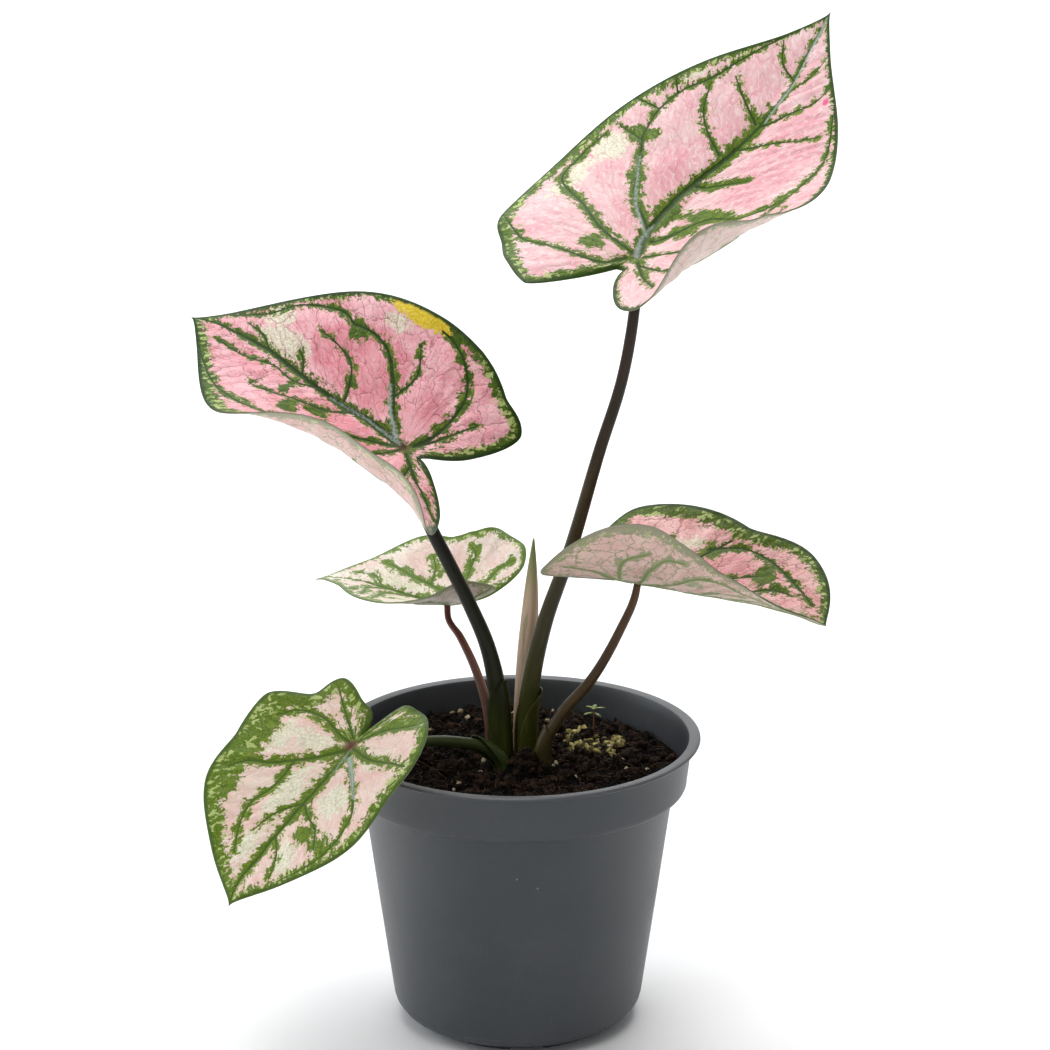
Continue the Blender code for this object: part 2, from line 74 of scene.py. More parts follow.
def mesh_object(name, points, faces, materials=()):
    """A mesh object at the origin from points in millimetres, smooth, with its faces turned outward."""
    mesh = bpy.data.meshes.new(name)
    mesh.from_pydata((np.asarray(points, float) * MM).tolist(), [], [list(map(int, face)) for face in faces])
    mesh.validate()
    work = bmesh.new()
    work.from_mesh(mesh)
    bmesh.ops.recalc_face_normals(work, faces=work.faces)
    work.to_mesh(mesh)
    work.free()
    mesh.shade_smooth()
    obj = bpy.data.objects.new(name, mesh)
    bpy.context.scene.collection.objects.link(obj)
    for material in materials:
        mesh.materials.append(material)
    return obj


def capped_rings(rings, sides):
    """Faces of a closed form: rings of points in order, then one point that closes each end."""
    faces = []
    for ring in range(rings - 1):
        for i in range(sides):
            a, b = ring * sides + i, ring * sides + (i + 1) % sides
            faces.append((a, b, b + sides, a + sides))
    low, high = rings * sides, rings * sides + 1
    for i in range(sides):
        j = (i + 1) % sides
        faces.append((low, j, i))
        faces.append((high, (rings - 1) * sides + i, (rings - 1) * sides + j))
    return faces


def turned_form(profile, sides):
    """A closed form turned about Z from (radius, height) pairs that start and end on the axis."""
    angles = np.arange(sides) * 2 * np.pi / sides
    ways = np.stack([np.cos(angles), np.sin(angles)], -1)
    rings = [np.hstack([r * ways, np.full((sides, 1), z)]) for r, z in profile[1:-1]]
    points = np.vstack(rings + [[(0, 0, profile[0][1])], [(0, 0, profile[-1][1])]])
    return points, capped_rings(len(rings), sides)


def finished(obj):
    """Replaces an object's mesh with the one its modifiers make, and removes them."""
    graph = bpy.context.evaluated_depsgraph_get()
    mesh = bpy.data.meshes.new_from_object(obj.evaluated_get(graph))
    obj.modifiers.clear()
    old = obj.data
    obj.data = mesh
    mesh.name = old.name
    bpy.data.meshes.remove(old)


def make(tree, kind, inputs=None, **settings):
    """A shader or geometry node with its settings, and its inputs set or linked by name or number."""
    item = tree.nodes.new(kind)
    for key, value in settings.items():
        setattr(item, key, value)
    for key, value in (inputs or {}).items():
        socket = item.inputs[key]
        if isinstance(value, bpy.types.NodeSocket):
            tree.links.new(value, socket)
        else:
            socket.default_value = value
    return item


def math_of(tree, operation, *values):
    """The output of one Math node."""
    return make(tree, "ShaderNodeMath", dict(enumerate(values)), operation=operation).outputs[0]


def blend_of(tree, share, first, second, kind="MIX"):
    """The colour output of a Mix node from first to second."""
    mix = make(tree, "ShaderNodeMix", {}, data_type="RGBA", blend_type=kind)
    for number, value in ((0, share), (6, first), (7, second)):
        if isinstance(value, bpy.types.NodeSocket):
            tree.links.new(value, mix.inputs[number])
        elif number == 0:
            mix.inputs[number].default_value = value
        else:
            mix.inputs[number].default_value = (*value, 1) if len(value) == 3 else value
    return mix.outputs[2]


def step_of(tree, value, low, high, out_low=0.0, out_high=1.0):
    """A soft step of a value from low to high."""
    inputs = {"Value": value, "From Min": low, "From Max": high, "To Min": out_low, "To Max": out_high}
    return make(tree, "ShaderNodeMapRange", inputs, interpolation_type="SMOOTHSTEP").outputs[0]


def noise_of(tree, place, scale, detail=2.0, roughness=0.5, output=0):
    """One output of a Noise Texture node, where 0 is its value and 1 its colour."""
    inputs = {"Vector": place, "Scale": scale, "Detail": detail, "Roughness": roughness}
    return make(tree, "ShaderNodeTexNoise", inputs).outputs[output]


def new_material(name, roughness=0.5, gloss=0.5):
    """A material, its node tree and its Principled shader, with a plain roughness and gloss."""
    material = bpy.data.materials.new(name)
    material.use_nodes = True
    shader = material.node_tree.nodes["Principled BSDF"]
    shader.inputs["Roughness"].default_value = roughness
    shader.inputs["Specular IOR Level"].default_value = gloss
    return material, material.node_tree, shader


def painted(parts, colour, relief, strength, depth, roughness=None):
    """Links a colour, a relief with its depth in metres and perhaps a roughness to a new material."""
    material, tree, shader = parts
    tree.links.new(colour, shader.inputs["Base Color"])
    bump = make(tree, "ShaderNodeBump", {"Height": relief, "Strength": strength, "Distance": depth})
    tree.links.new(bump.outputs[0], shader.inputs["Normal"])
    if roughness is not None:
        tree.links.new(roughness, shader.inputs["Roughness"])
    return material


def new_group(name, inputs, outputs):
    """A shader node group with named inputs, each a (kind, default), and its in and out nodes."""
    group = bpy.data.node_groups.new(name, "ShaderNodeTree")
    for key, (kind, value) in inputs.items():
        socket = group.interface.new_socket(key, in_out="INPUT", socket_type="NodeSocket" + kind)
        if value is not None:
            socket.default_value = value
    for key, kind in outputs.items():
        group.interface.new_socket(key, in_out="OUTPUT", socket_type="NodeSocket" + kind)
    return group, group.nodes.new("NodeGroupInput"), group.nodes.new("NodeGroupOutput")


# Smudge: soft dust and dried splashes, in broad clouds with a fine grain.
smudge_inputs = {"Place": ("Vector", None), "Size": ("Float", 30.0), "Amount": ("Float", 0.5)}
smudge_group, smudge_in, smudge_out = new_group("smudge", smudge_inputs, {"Mask": "Float"})
smudge_given = smudge_in.outputs
smudge_broad = noise_of(smudge_group, smudge_given["Place"], smudge_given["Size"], 5.0, 0.65)
smudge_fine = noise_of(smudge_group, smudge_given["Place"], 900.0)
smudge_sum = math_of(smudge_group, "MULTIPLY_ADD", smudge_fine, 0.35, smudge_broad)
smudge_share = step_of(smudge_group, smudge_sum, 0.55, 1.05)
smudge_mask = math_of(smudge_group, "MULTIPLY", smudge_share, smudge_given["Amount"])
smudge_group.links.new(smudge_mask, smudge_out.inputs["Mask"])


def pot_material():
    """Matt blue-grey plastic with a painted highlight along the top of the lip, smudges and a few specks of
    dust.
    """
    parts = new_material("pot_plastic", gloss=0.52)
    tree = parts[1]
    combine, step, blend = (partial(tool, tree) for tool in (math_of, step_of, blend_of))
    place = make(tree, "ShaderNodeTexCoord").outputs["Object"]
    height = make(tree, "ShaderNodeSeparateXYZ", {0: place}).outputs["Z"]
    smudge = make(tree, "ShaderNodeGroup", {}, node_tree=smudge_group)
    tree.links.new(place, smudge.inputs["Place"])
    smudge.inputs["Size"].default_value = 38.0
    smudge.inputs["Amount"].default_value = 0.5
    smudge = smudge.outputs["Mask"]
    cloud = noise_of(tree, place, 14.0, 3.0)
    body = blend(step(cloud, 0.3, 0.7), (0.034, 0.039, 0.046), (0.041, 0.047, 0.055))
    # Painted highlight: the top of the lip is painted paler where light catches the rim.
    lip = step(height, 0.0962, 0.0978)
    body = blend(combine("MULTIPLY", lip, 0.5), body, (0.080, 0.086, 0.094))
    body = blend(combine("MULTIPLY", smudge, 0.6), body, (0.085, 0.086, 0.086))
    dust = make(tree, "ShaderNodeTexVoronoi", {"Vector": place, "Scale": 150.0}).outputs
    rare = step(make(tree, "ShaderNodeSeparateColor", {0: dust["Color"]}).outputs[0], 0.93, 0.96)
    speck = combine("MULTIPLY", step(dust["Distance"], 0.07, 0.03), rare)
    body = blend(combine("MULTIPLY", speck, 0.6), body, (0.26, 0.24, 0.20))
    skin = noise_of(tree, place, 1400.0)
    rough = combine("MULTIPLY_ADD", smudge, 0.22, 0.38)
    return painted(parts, body, skin, 0.12, 0.0002, combine("MULTIPLY_ADD", skin, 0.10, rough))


pot_points, pot_faces = turned_form(POT_PROFILE, POT_SIDES)
pot_turn = np.degrees(np.arctan2(pot_points[:, 1], pot_points[:, 0]))
pot_reach = np.hypot(pot_points[:, 0], pot_points[:, 1])
foot_step = 360 / FOOT_COUNT
from_gap = (pot_turn - FIRST_GAP_ANGLE + foot_step / 2) % foot_step - foot_step / 2
foot_ring = (pot_reach > 29.2) & (pot_reach < 33.1) & (pot_points[:, 2] < FOOT_HEIGHT / 2)
notch = foot_ring & (abs(from_gap) < FOOT_GAP_ANGLE / 2)
pot_points[notch, 2] = FOOT_HEIGHT
pot = mesh_object("nursery_pot", pot_points, pot_faces, [pot_material()])
drills = []
for drill_number in range(FOOT_COUNT):
    turn = math.radians(FIRST_GAP_ANGLE + drill_number * foot_step)
    drill_profile = ((0, 1.0), (DRAIN_HOLE, 1.0), (DRAIN_HOLE, 4.4), (0, 4.4))
    drill_points, drill_faces = turned_form(drill_profile, DRAIN_HOLE_SIDES)
    drill_points = drill_points + (DRAIN_RADIUS * math.cos(turn), DRAIN_RADIUS * math.sin(turn), 0)
    drills.append(mesh_object("drain_drill", drill_points, drill_faces))
for drill in drills:
    hole = pot.modifiers.new("drain_hole", "BOOLEAN")
    hole.operation = "DIFFERENCE"
    hole.solver = "EXACT"
    hole.object = drill
finished(pot)
for drill in drills:
    bpy.data.objects.remove(drill, do_unlink=True)
pot.data.set_sharp_from_angle(angle=math.radians(POT_SHARP_EDGE))
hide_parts("pot")
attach(pot, "root")


# Soil: dark peat mix filled by hand to just under the lip, lumpy, higher at the stems, with
# one clod pressed up at their foot. It is one plug under a rough top.

SOIL_EDGE_HEIGHT = 86.5
SOIL_MOUND = 2.6
SOIL_LUMP = 0.9
CLOD_PLACE = (2.0, -9.6)
CLOD_HEIGHT = 7.5
CLOD_RADIUS = 3.9
SOIL_RADIUS = 54.3
SOIL_RINGS = 90
SOIL_SIDES = 260
SOIL_PROFILE = (
    (0, 3.6), (32.9, 3.6), (37.2, 4.6), (39.8, 8.0), (49.7, 82.6), (52.9, 82.6), (54.15, 84.2), (54.3, 86.0),
)


def soil_height(x, y):
    """Height of the soil's surface at a place, in millimetres."""
    share = max(0.0, 1 - (math.hypot(x, y) / 54.0) ** 2)
    lumps = math.sin(0.42 * x + 0.9) * math.cos(0.37 * y - 0.4) + 0.6 * math.sin(0.23 * x - 0.51 * y + 2.0)
    slope = -0.030 * x + 0.028 * y
    clod = CLOD_HEIGHT * math.exp(-((x - CLOD_PLACE[0]) ** 2 + (y - CLOD_PLACE[1]) ** 2) / CLOD_RADIUS**2)
    lumps = SOIL_LUMP * lumps * min(1.0, 3 * share + 0.25)
    height = SOIL_EDGE_HEIGHT + SOIL_MOUND * share + lumps + slope + clod
    rough = noise.ridged_multi_fractal(Vector((x, y, 3.0)) * 0.17, 0.9, 2.2, 4, 1.0, 2.0) * 1.5 - 1.5
    return height + rough * min(1.0, 4 * share + 0.35) - 0.5


def soil_material(name, dark, light, warm):
    """Moist peat: dark, with lighter grains and warmer patches, and a rough grainy skin."""
    parts = new_material(name, gloss=0.12)
    tree = parts[1]
    place = make(tree, "ShaderNodeTexCoord").outputs["Object"]
    grain = noise_of(tree, place, 900.0, 6.0, 0.7)
    patch = noise_of(tree, place, 160.0, 3.0)
    colour = blend_of(tree, step_of(tree, grain, 0.38, 0.75), dark, light)
    colour = blend_of(tree, step_of(tree, patch, 0.52, 0.78, 0.0, 0.6), colour, warm)
    return painted(parts, colour, grain, 0.8, 0.0008, step_of(tree, grain, 0.3, 0.8, 0.98, 0.72))


soil_top = tuple((SOIL_RADIUS * (1 - ring / SOIL_RINGS), SOIL_EDGE_HEIGHT) for ring in range(SOIL_RINGS + 1))
soil_points, soil_faces = turned_form(SOIL_PROFILE + soil_top, SOIL_SIDES)
for soil_number, (x, y, z) in enumerate(soil_points):
    if z > SOIL_EDGE_HEIGHT - 0.1:
        soil_points[soil_number, 2] = soil_height(x, y)
# Painted shade: the peat of the soil's top and its crumbs is near black. It is dark moist peat, also darkened
# to stand for the shade in the gaps between lumps.
peat = soil_material("peat", (0.0012, 0.0008, 0.0006), (0.011, 0.006, 0.0035), (0.020, 0.011, 0.006))
soil = mesh_object("soil_plug", soil_points, soil_faces, [peat])
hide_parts("soil")
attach(soil, "root")


# Peat crumbs, lumps, bark fibres, perlite and moss: loose bits that lie on the soil's top, with a
# knot of lumps at the stems' foot. Each kind is scattered over the surface and turned at random.

TOP_LOWEST = 0.0845
TOP_REACH = 0.0531
TOP_FACING = 0.3
FULL_TURN = 6.283


def vector_of(tree, operation, *values):
    """The output of one Vector Math node, which is a number for a length or a distance."""
    node = make(tree, "ShaderNodeVectorMath", dict(enumerate(values)), operation=operation)
    return node.outputs["Value" if operation in ("LENGTH", "DISTANCE") else "Vector"]


def crumb_bit(tree):
    """A crumb: a ball of few faces."""
    return make(tree, "GeometryNodeMeshIcoSphere", {"Radius": 1.0, "Subdivisions": 1}).outputs[0]


def lump_bit(tree):
    """A lump: a ball pushed out of round by noise."""
    ball = make(tree, "GeometryNodeMeshIcoSphere", {"Radius": 1.0, "Subdivisions": 2}).outputs[0]
    bumps = make(tree, "ShaderNodeTexNoise", {"Scale": 1.6, "Detail": 2.0}).outputs["Color"]
    shift = vector_of(tree, "SUBTRACT", bumps, (0.5, 0.5, 0.5))
    shift = vector_of(tree, "MULTIPLY", shift, (1.5, 1.5, 1.5))
    return make(tree, "GeometryNodeSetPosition", {"Geometry": ball, "Offset": shift}).outputs[0]


def fibre_bit(tree):
    """A fibre: a short bent rod."""
    bow = {"Resolution": 7, "Start": (-1, 0, 0), "Middle": (0.1, 0.9, 0.25), "End": (1, -0.2, 0)}
    bow = make(tree, "GeometryNodeCurveQuadraticBezier", bow).outputs[0]
    ring = make(tree, "GeometryNodeCurvePrimitiveCircle", {"Resolution": 4, "Radius": 0.045}).outputs[0]
    inputs = {"Curve": bow, "Profile Curve": ring, "Fill Caps": True}
    return make(tree, "GeometryNodeCurveToMesh", inputs).outputs[0]


def scatter_tree(name, make_bit):
    """Geometry nodes that scatter one kind of small bit over the top of a surface."""
    tree = bpy.data.node_groups.new(name, "GeometryNodeTree")
    sockets = dict(
        Geometry="Geometry", Density="Float", Seed="Int", Smallest="Vector", Largest="Vector",
        Lift="Float", Tilt="Float", Middle="Vector", Spread="Float", Material="Material",
    )
    for key, kind in sockets.items():
        tree.interface.new_socket(key, in_out="INPUT", socket_type="NodeSocket" + kind)
    tree.interface.new_socket("Geometry", in_out="OUTPUT", socket_type="NodeSocketGeometry")
    given = tree.nodes.new("NodeGroupInput").outputs
    out = tree.nodes.new("NodeGroupOutput")
    combine = partial(math_of, tree)
    facing = tree.nodes.new("GeometryNodeInputNormal").outputs[0]
    upward = make(tree, "ShaderNodeSeparateXYZ", {0: facing}).outputs["Z"]
    place = tree.nodes.new("GeometryNodeInputPosition").outputs[0]
    height = make(tree, "ShaderNodeSeparateXYZ", {0: place}).outputs["Z"]
    flat = vector_of(tree, "MULTIPLY", place, (1, 1, 0))
    reach = vector_of(tree, "LENGTH", flat)
    offset = vector_of(tree, "DISTANCE", flat, given["Middle"])
    chosen = 1.0
    for test in (
        ("GREATER_THAN", upward, TOP_FACING), ("GREATER_THAN", height, TOP_LOWEST),
        ("LESS_THAN", reach, TOP_REACH), ("LESS_THAN", offset, given["Spread"]),
    ):
        chosen = combine("MULTIPLY", chosen, combine(*test))
    inputs = {"Mesh": given["Geometry"], "Selection": chosen}
    inputs.update({"Density": given["Density"], "Seed": given["Seed"]})
    points = make(tree, "GeometryNodeDistributePointsOnFaces", inputs, distribute_method="RANDOM")
    turn = make(tree, "FunctionNodeRandomValue", {"Seed": 3}, data_type="FLOAT_VECTOR")
    turn.inputs[0].default_value = (-1, -1, 0)
    turn.inputs[1].default_value = (1, 1, FULL_TURN)
    lean = make(tree, "ShaderNodeCombineXYZ", {"X": given["Tilt"], "Y": given["Tilt"], "Z": 1.0}).outputs[0]
    turned = vector_of(tree, "MULTIPLY", turn.outputs[0], lean)
    size = make(tree, "FunctionNodeRandomValue", {"Seed": 8}, data_type="FLOAT_VECTOR")
    tree.links.new(given["Smallest"], size.inputs[0])
    tree.links.new(given["Largest"], size.inputs[1])
    inputs = {"Points": points.outputs["Points"], "Instance": make_bit(tree), "Rotation": turned}
    placed = make(tree, "GeometryNodeInstanceOnPoints", {**inputs, "Scale": size.outputs[0]}).outputs[0]
    shift = make(tree, "ShaderNodeCombineXYZ", {"Z": given["Lift"]}).outputs[0]
    lifted = make(tree, "GeometryNodeTranslateInstances", {"Instances": placed, "Translation": shift})
    lifted.inputs["Local Space"].default_value = False
    real = make(tree, "GeometryNodeRealizeInstances", {"Geometry": lifted.outputs[0]}).outputs[0]
    inputs = {"Geometry": real, "Material": given["Material"]}
    tree.links.new(make(tree, "GeometryNodeSetMaterial", inputs).outputs[0], out.inputs[0])
    return tree


def scattered(name, tree, material, **given):
    """A plain mesh of bits scattered on the soil by the tree, with its inputs given by name, in metres."""
    obj = bpy.data.objects.new(name, soil.data.copy())
    bpy.context.scene.collection.objects.link(obj)
    modifier = obj.modifiers.new("scatter", "NODES")
    modifier.node_group = tree
    settings = dict(Middle=(0.0, 0.0, 0.0), Spread=1.0, Tilt=1.0, Lift=0.0, Material=material)
    settings.update({key.capitalize(): value for key, value in given.items()})
    for item in tree.interface.items_tree:
        if item.in_out == "INPUT" and item.name in settings:
            modifier[item.identifier] = settings[item.name]
    finished(obj)
    obj.data.shade_smooth()
    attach(obj, "root")


def bit_material(name, dark, light, scale, roughness):
    """A grained matt skin for a small bit."""
    parts = new_material(name, roughness=roughness, gloss=0.3)
    tree = parts[1]
    grain = noise_of(tree, make(tree, "ShaderNodeTexCoord").outputs["Object"], scale, 4.0)
    return painted(parts, blend_of(tree, step_of(tree, grain, 0.35, 0.65), dark, light), grain, 0.6, 0.0004)


crumb_tree = scatter_tree("scatter_crumbs", crumb_bit)
lump_tree = scatter_tree("scatter_lumps", lump_bit)
fibre_tree = scatter_tree("scatter_fibres", fibre_bit)
scattered(
    "peat_crumbs", crumb_tree, peat, density=520000.0, seed=4,
    smallest=(0.0002, 0.0002, 0.0002), largest=(0.0009, 0.0009, 0.0007),
)
# Painted light: the lumps are the same peat, painted lighter and browner as lit chunks against the shaded
# gaps.
clods = soil_material("peat_lump", (0.0030, 0.0018, 0.0012), (0.044, 0.024, 0.013), (0.075, 0.040, 0.020))
scattered(
    "peat_lumps", lump_tree, clods, density=75000.0, seed=9,
    smallest=(0.0005, 0.0005, 0.0004), largest=(0.0027, 0.0024, 0.0018),
)
scattered(
    "foot_clod", lump_tree, clods, density=900000.0, seed=2,
    middle=(CLOD_PLACE[0] * MM, CLOD_PLACE[1] * MM, 0.0), spread=0.0042,
    smallest=(0.0006, 0.0006, 0.0006), largest=(0.0020, 0.0018, 0.0016),
)
bark = bit_material("bark_fibre", (0.020, 0.011, 0.006), (0.13, 0.070, 0.034), 700.0, 0.85)
scattered(
    "bark_fibres", fibre_tree, bark, density=60000.0, seed=21, tilt=0.5, lift=0.0002,
    smallest=(0.0012, 0.0010, 0.0015), largest=(0.0034, 0.0026, 0.0034),
)
perlite = bit_material("perlite", (0.24, 0.18, 0.10), (0.52, 0.44, 0.30), 500.0, 0.9)
scattered(
    "perlite_bits", lump_tree, perlite, density=5200.0, seed=5, lift=0.0003,
    smallest=(0.0005, 0.0005, 0.0004), largest=(0.0013, 0.0012, 0.0010),
)
moss = bit_material("moss", (0.05, 0.040, 0.012), (0.38, 0.32, 0.11), 700.0, 0.9)
scattered(
    "moss_tufts", lump_tree, moss, density=60000.0, seed=13, lift=0.0002,
    middle=(0.027, 0.019, 0.0), spread=0.0125,
    smallest=(0.0006, 0.0006, 0.0005), largest=(0.0030, 0.0026, 0.0018),
)


# Seedling: a weed that came up in the pot, a thread of a red stem with six small pale leaves
# held out round its top.

SEEDLING_PLACE = (25.5, 26.0)
SEEDLING_HEIGHT = 9.5
SEEDLING_SUNK = 0.8
SEEDLING_STEM = ((0, 0), (0.30, 0), (0.24, 4), (0.20, SEEDLING_HEIGHT), (0, SEEDLING_HEIGHT + 0.2))
SEEDLING_STEM_SIDES = 8
SEEDLING_LEAVES = (
    (10, 0.25, 4.2, 1.0), (75, 0.45, 3.0, 0.6), (140, 0.30, 3.6, 0.9),
    (205, 0.20, 4.0, 1.1), (265, 0.50, 2.8, 0.5), (320, 0.10, 3.4, 1.4),
)
SEEDLING_RED_HEIGHT = 7.5
LEAFLET_WIDTH = 1.5
LEAFLET_THICKNESS = 0.16


def closed_leaflet(foot, way, length, width, droop):
    """A small pointed leaf as two skins that meet at its edge, held out from its foot."""
    way = np.array(way) / np.linalg.norm(way)
    side = np.cross(way, (0, 0, 1.0))
    side /= np.linalg.norm(side)
    up = np.cross(side, way)
    share = np.linspace(0, 1, 9)[1:-1]
    half = width / 2 * np.sin(np.pi * share) ** 0.8
    spine = foot + length * share[:, None] * way - np.array([0, 0, droop]) * share[:, None] ** 2
    wide, thick = side * half[:, None], up * LEAFLET_THICKNESS
    rows = [spine + wide, spine + thick, spine - wide, spine - thick]
    points = np.vstack([np.stack(rows, 1).reshape(-1, 3), [foot], [foot + way * length - (0, 0, droop)]])
    return points, capped_rings(len(share), len(rows))


seedling_x, seedling_y = SEEDLING_PLACE
seedling_z = soil_height(seedling_x, seedling_y) - SEEDLING_SUNK
seedling_points, seedling_faces = turned_form(SEEDLING_STEM, SEEDLING_STEM_SIDES)
stem_point_count = len(seedling_points)
seedling_points = seedling_points + (seedling_x, seedling_y, seedling_z)
for leaf_turn, leaf_rise, leaf_length, leaf_drop in SEEDLING_LEAVES:
    turn = math.radians(leaf_turn)
    top = np.array([seedling_x, seedling_y, seedling_z + SEEDLING_HEIGHT - 1.4 * (leaf_drop > 1.0)])
    way = (math.cos(turn), math.sin(turn), leaf_rise)
    leaflet_points, leaflet_faces = closed_leaflet(top, way, leaf_length, LEAFLET_WIDTH, leaf_drop)
    seedling_faces += [tuple(v + len(seedling_points) for v in face) for face in leaflet_faces]
    seedling_points = np.vstack([seedling_points, leaflet_points])
seedling_skin = bit_material("seedling_skin", (0.11, 0.16, 0.03), (0.30, 0.34, 0.12), 700.0, 0.5)
seedling_stem = bit_material("seedling_stem", (0.20, 0.07, 0.04), (0.30, 0.12, 0.07), 700.0, 0.5)
seedling = mesh_object("seedling", seedling_points, seedling_faces, [seedling_skin, seedling_stem])
for face in seedling.data.polygons:
    low = face.center[2] < (seedling_z + SEEDLING_RED_HEIGHT) * MM
    face.material_index = int(max(face.vertices) < stem_point_count or low)
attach(seedling, "root")


# Leaf stems: five smooth fleshy stalks that rise from the tuber, with fine lengthwise streaks.
# All but one widen into a sheath at the foot. A sheath has its start and end along the stem and
# the way it faces in radians, and a junction is where the blade sits and how it is turned.

STEM_SIDES = 28
STEM_STEPS = 130
STEM_MAP = 400.0
NECK_LENGTH = 4.5
STEM_TOP_GAP = 0.55
SHEATH_SIDES = 20
SHEATH_STEPS = 46
SHEATH_WALL = 0.28
SHEATH_WRAP = 150
SHEATH_TONGUE = 6
STEMS = {
    "1": dict(
        path=((3.5, 0.5, 79.8), (3.0, 0.7, 102), (5, 0.2, 120), (9, -0.4, 137), (16, -1.1, 158),
              (26.3, -2.4, 195), (33.1, -3.2, 218), (36.7, -4.0, 240)),
        radius=(3.1, 3.2, 3.0, 2.6, 2.3, 2.0, 1.9, 1.8, 1.6, 1.5),
        foot=(0.040, 0.045, 0.006), middle=(0.036, 0.029, 0.011), top=(0.026, 0.018, 0.013),
        sheath=(9.0, 34.0, 0.4),
    ),
    "2": dict(
        path=((-5.0, 2.0, 79.8), (-5.6, 2.2, 100), (-6.8, 2.6, 113), (-10, 3.1, 127.5), (-15.5, 3.6, 141),
              (-22, 4, 154.6), (-28.5, 4.5, 168), (-34.0, 5.0, 182)),
        radius=(3.2, 3.2, 3.0, 2.6, 2.4, 2.3, 2.2, 2.0, 1.7, 1.5),
        foot=(0.028, 0.036, 0.005), middle=(0.011, 0.012, 0.005), top=(0.010, 0.009, 0.007),
        sheath=(9.0, 36.0, 5.6),
    ),
    "3": dict(
        path=((-9.0, 9.6, 79.8), (-9.1, 9.8, 88), (-9.3, 10.6, 98), (-13.2, 17, 112), (-19.2, 26.5, 122.5)),
        radius=(1.9, 1.9, 1.8, 1.5, 1.3, 1.1, 1.1),
        foot=(0.055, 0.036, 0.020), middle=(0.110, 0.055, 0.038), top=(0.12, 0.034, 0.022),
        sheath=None,
    ),
    "4": dict(
        path=((7.4, -6.2, 79.8), (7.7, -5.9, 87), (8.4, -5.4, 95), (14.2, -4.2, 106), (24.0, -3.7, 118),
              (33.4, -4.2, 135.5)),
        radius=(2.3, 2.3, 2.2, 1.9, 1.7, 1.5, 1.3, 1.2),
        foot=(0.040, 0.038, 0.010), middle=(0.056, 0.036, 0.014), top=(0.080, 0.042, 0.020),
        sheath=(8.0, 22.0, 3.4),
    ),
    "5": dict(
        path=((-5.0, -6.2, 79.8), (-5.2, -6.3, 85), (-5.8, -6.6, 91), (-9.6, -8.4, 95.5),
              (-18.7, -13.5, 99.8), (-29, -20, 102.6), (-41, -27.5, 103.4)),
        radius=(2.4, 2.4, 2.3, 2.1, 1.9, 1.7, 1.5, 1.4, 1.3),
        foot=(0.044, 0.064, 0.016), middle=(0.030, 0.042, 0.012), top=(0.034, 0.042, 0.014),
        sheath=(8.0, 24.0, 1.2),
    ),
}
JUNCTIONS = {
    "1": ((37.5, -4.7, 258.1), (-35.4, 19.7, 8.2)),
    "2": ((-36.9, 5.4, 193.5), (64.2, 28.1, -21.5)),
    "3": ((-23.7, 34.0, 132.1), (68.8, -6.5, 9.4)),
    "4": ((38.8, -4.7, 151.5), (-94.0, -10.9, -6.6)),
    "5": ((-52.5, -34.9, 106.5), (138.1, -30.0, 1.6)),
}


def turn_of(angles):
    """The turn of a leaf from its heading, rise and roll in degrees."""
    heading, rise, roll = (math.radians(angle) for angle in angles)
    c, s = math.cos(heading), math.sin(heading)
    about_z = np.array([[c, -s, 0], [s, c, 0], [0, 0, 1]])
    c, s = math.cos(rise), math.sin(rise)
    about_x = np.array([[1, 0, 0], [0, c, -s], [0, s, c]])
    c, s = math.cos(roll), math.sin(roll)
    about_y = np.array([[c, 0, s], [0, 1, 0], [-s, 0, c]])
    return about_z @ about_x @ about_y


def smooth_between(places, values, wanted):
    """Cubic interpolation that never swings past the given values."""
    x, y = np.array(places, float), np.array(values, float)
    h = np.diff(x)
    rate = np.diff(y) / h
    slope = np.zeros_like(y)
    for i in range(1, len(x) - 1):
        if rate[i - 1] * rate[i] > 0:
            a, b = 2 * h[i] + h[i - 1], h[i] + 2 * h[i - 1]
            slope[i] = (a + b) / (a / rate[i - 1] + b / rate[i])
    for end, near, far in ((0, 0, 1), (-1, -1, -2)):
        first = ((2 * h[near] + h[far]) * rate[near] - h[near] * rate[far]) / (h[near] + h[far])
        if first * rate[near] <= 0:
            first = 0.0
        elif rate[near] * rate[far] <= 0 and abs(first) > 3 * abs(rate[near]):
            first = 3 * rate[near]
        slope[end] = first
    k = np.clip(np.searchsorted(x, wanted, side="right") - 1, 0, len(h) - 1)
    t = (wanted - x[k]) / h[k]
    return (
        y[k] * (2 * t**3 - 3 * t**2 + 1)
        + y[k + 1] * (3 * t**2 - 2 * t**3)
        + slope[k] * h[k] * (t**3 - 2 * t**2 + t)
        + slope[k + 1] * h[k] * (t**3 - t**2)
    )


def curve_points(path, steps):
    """Points along a smooth curve through the path, with the lengths at them and at the path's points."""
    path = np.array(path, float)
    lengths = np.concatenate([[0], np.cumsum(np.linalg.norm(np.diff(path, axis=0), axis=1))])
    wanted = np.linspace(0, lengths[-1], steps + 1)
    slopes = np.gradient(path, lengths, axis=0)
    k = np.clip(np.searchsorted(lengths, wanted, side="right") - 1, 0, len(path) - 2)
    h = (lengths[k + 1] - lengths[k])[:, None]
    u = (wanted - lengths[k])[:, None] / h
    points = (
        path[k] * (2 * u**3 - 3 * u**2 + 1)
        + path[k + 1] * (3 * u**2 - 2 * u**3)
        + slopes[k] * h * (u**3 - 2 * u**2 + u)
        + slopes[k + 1] * h * (u**3 - u**2)
    )
    return points, wanted, lengths


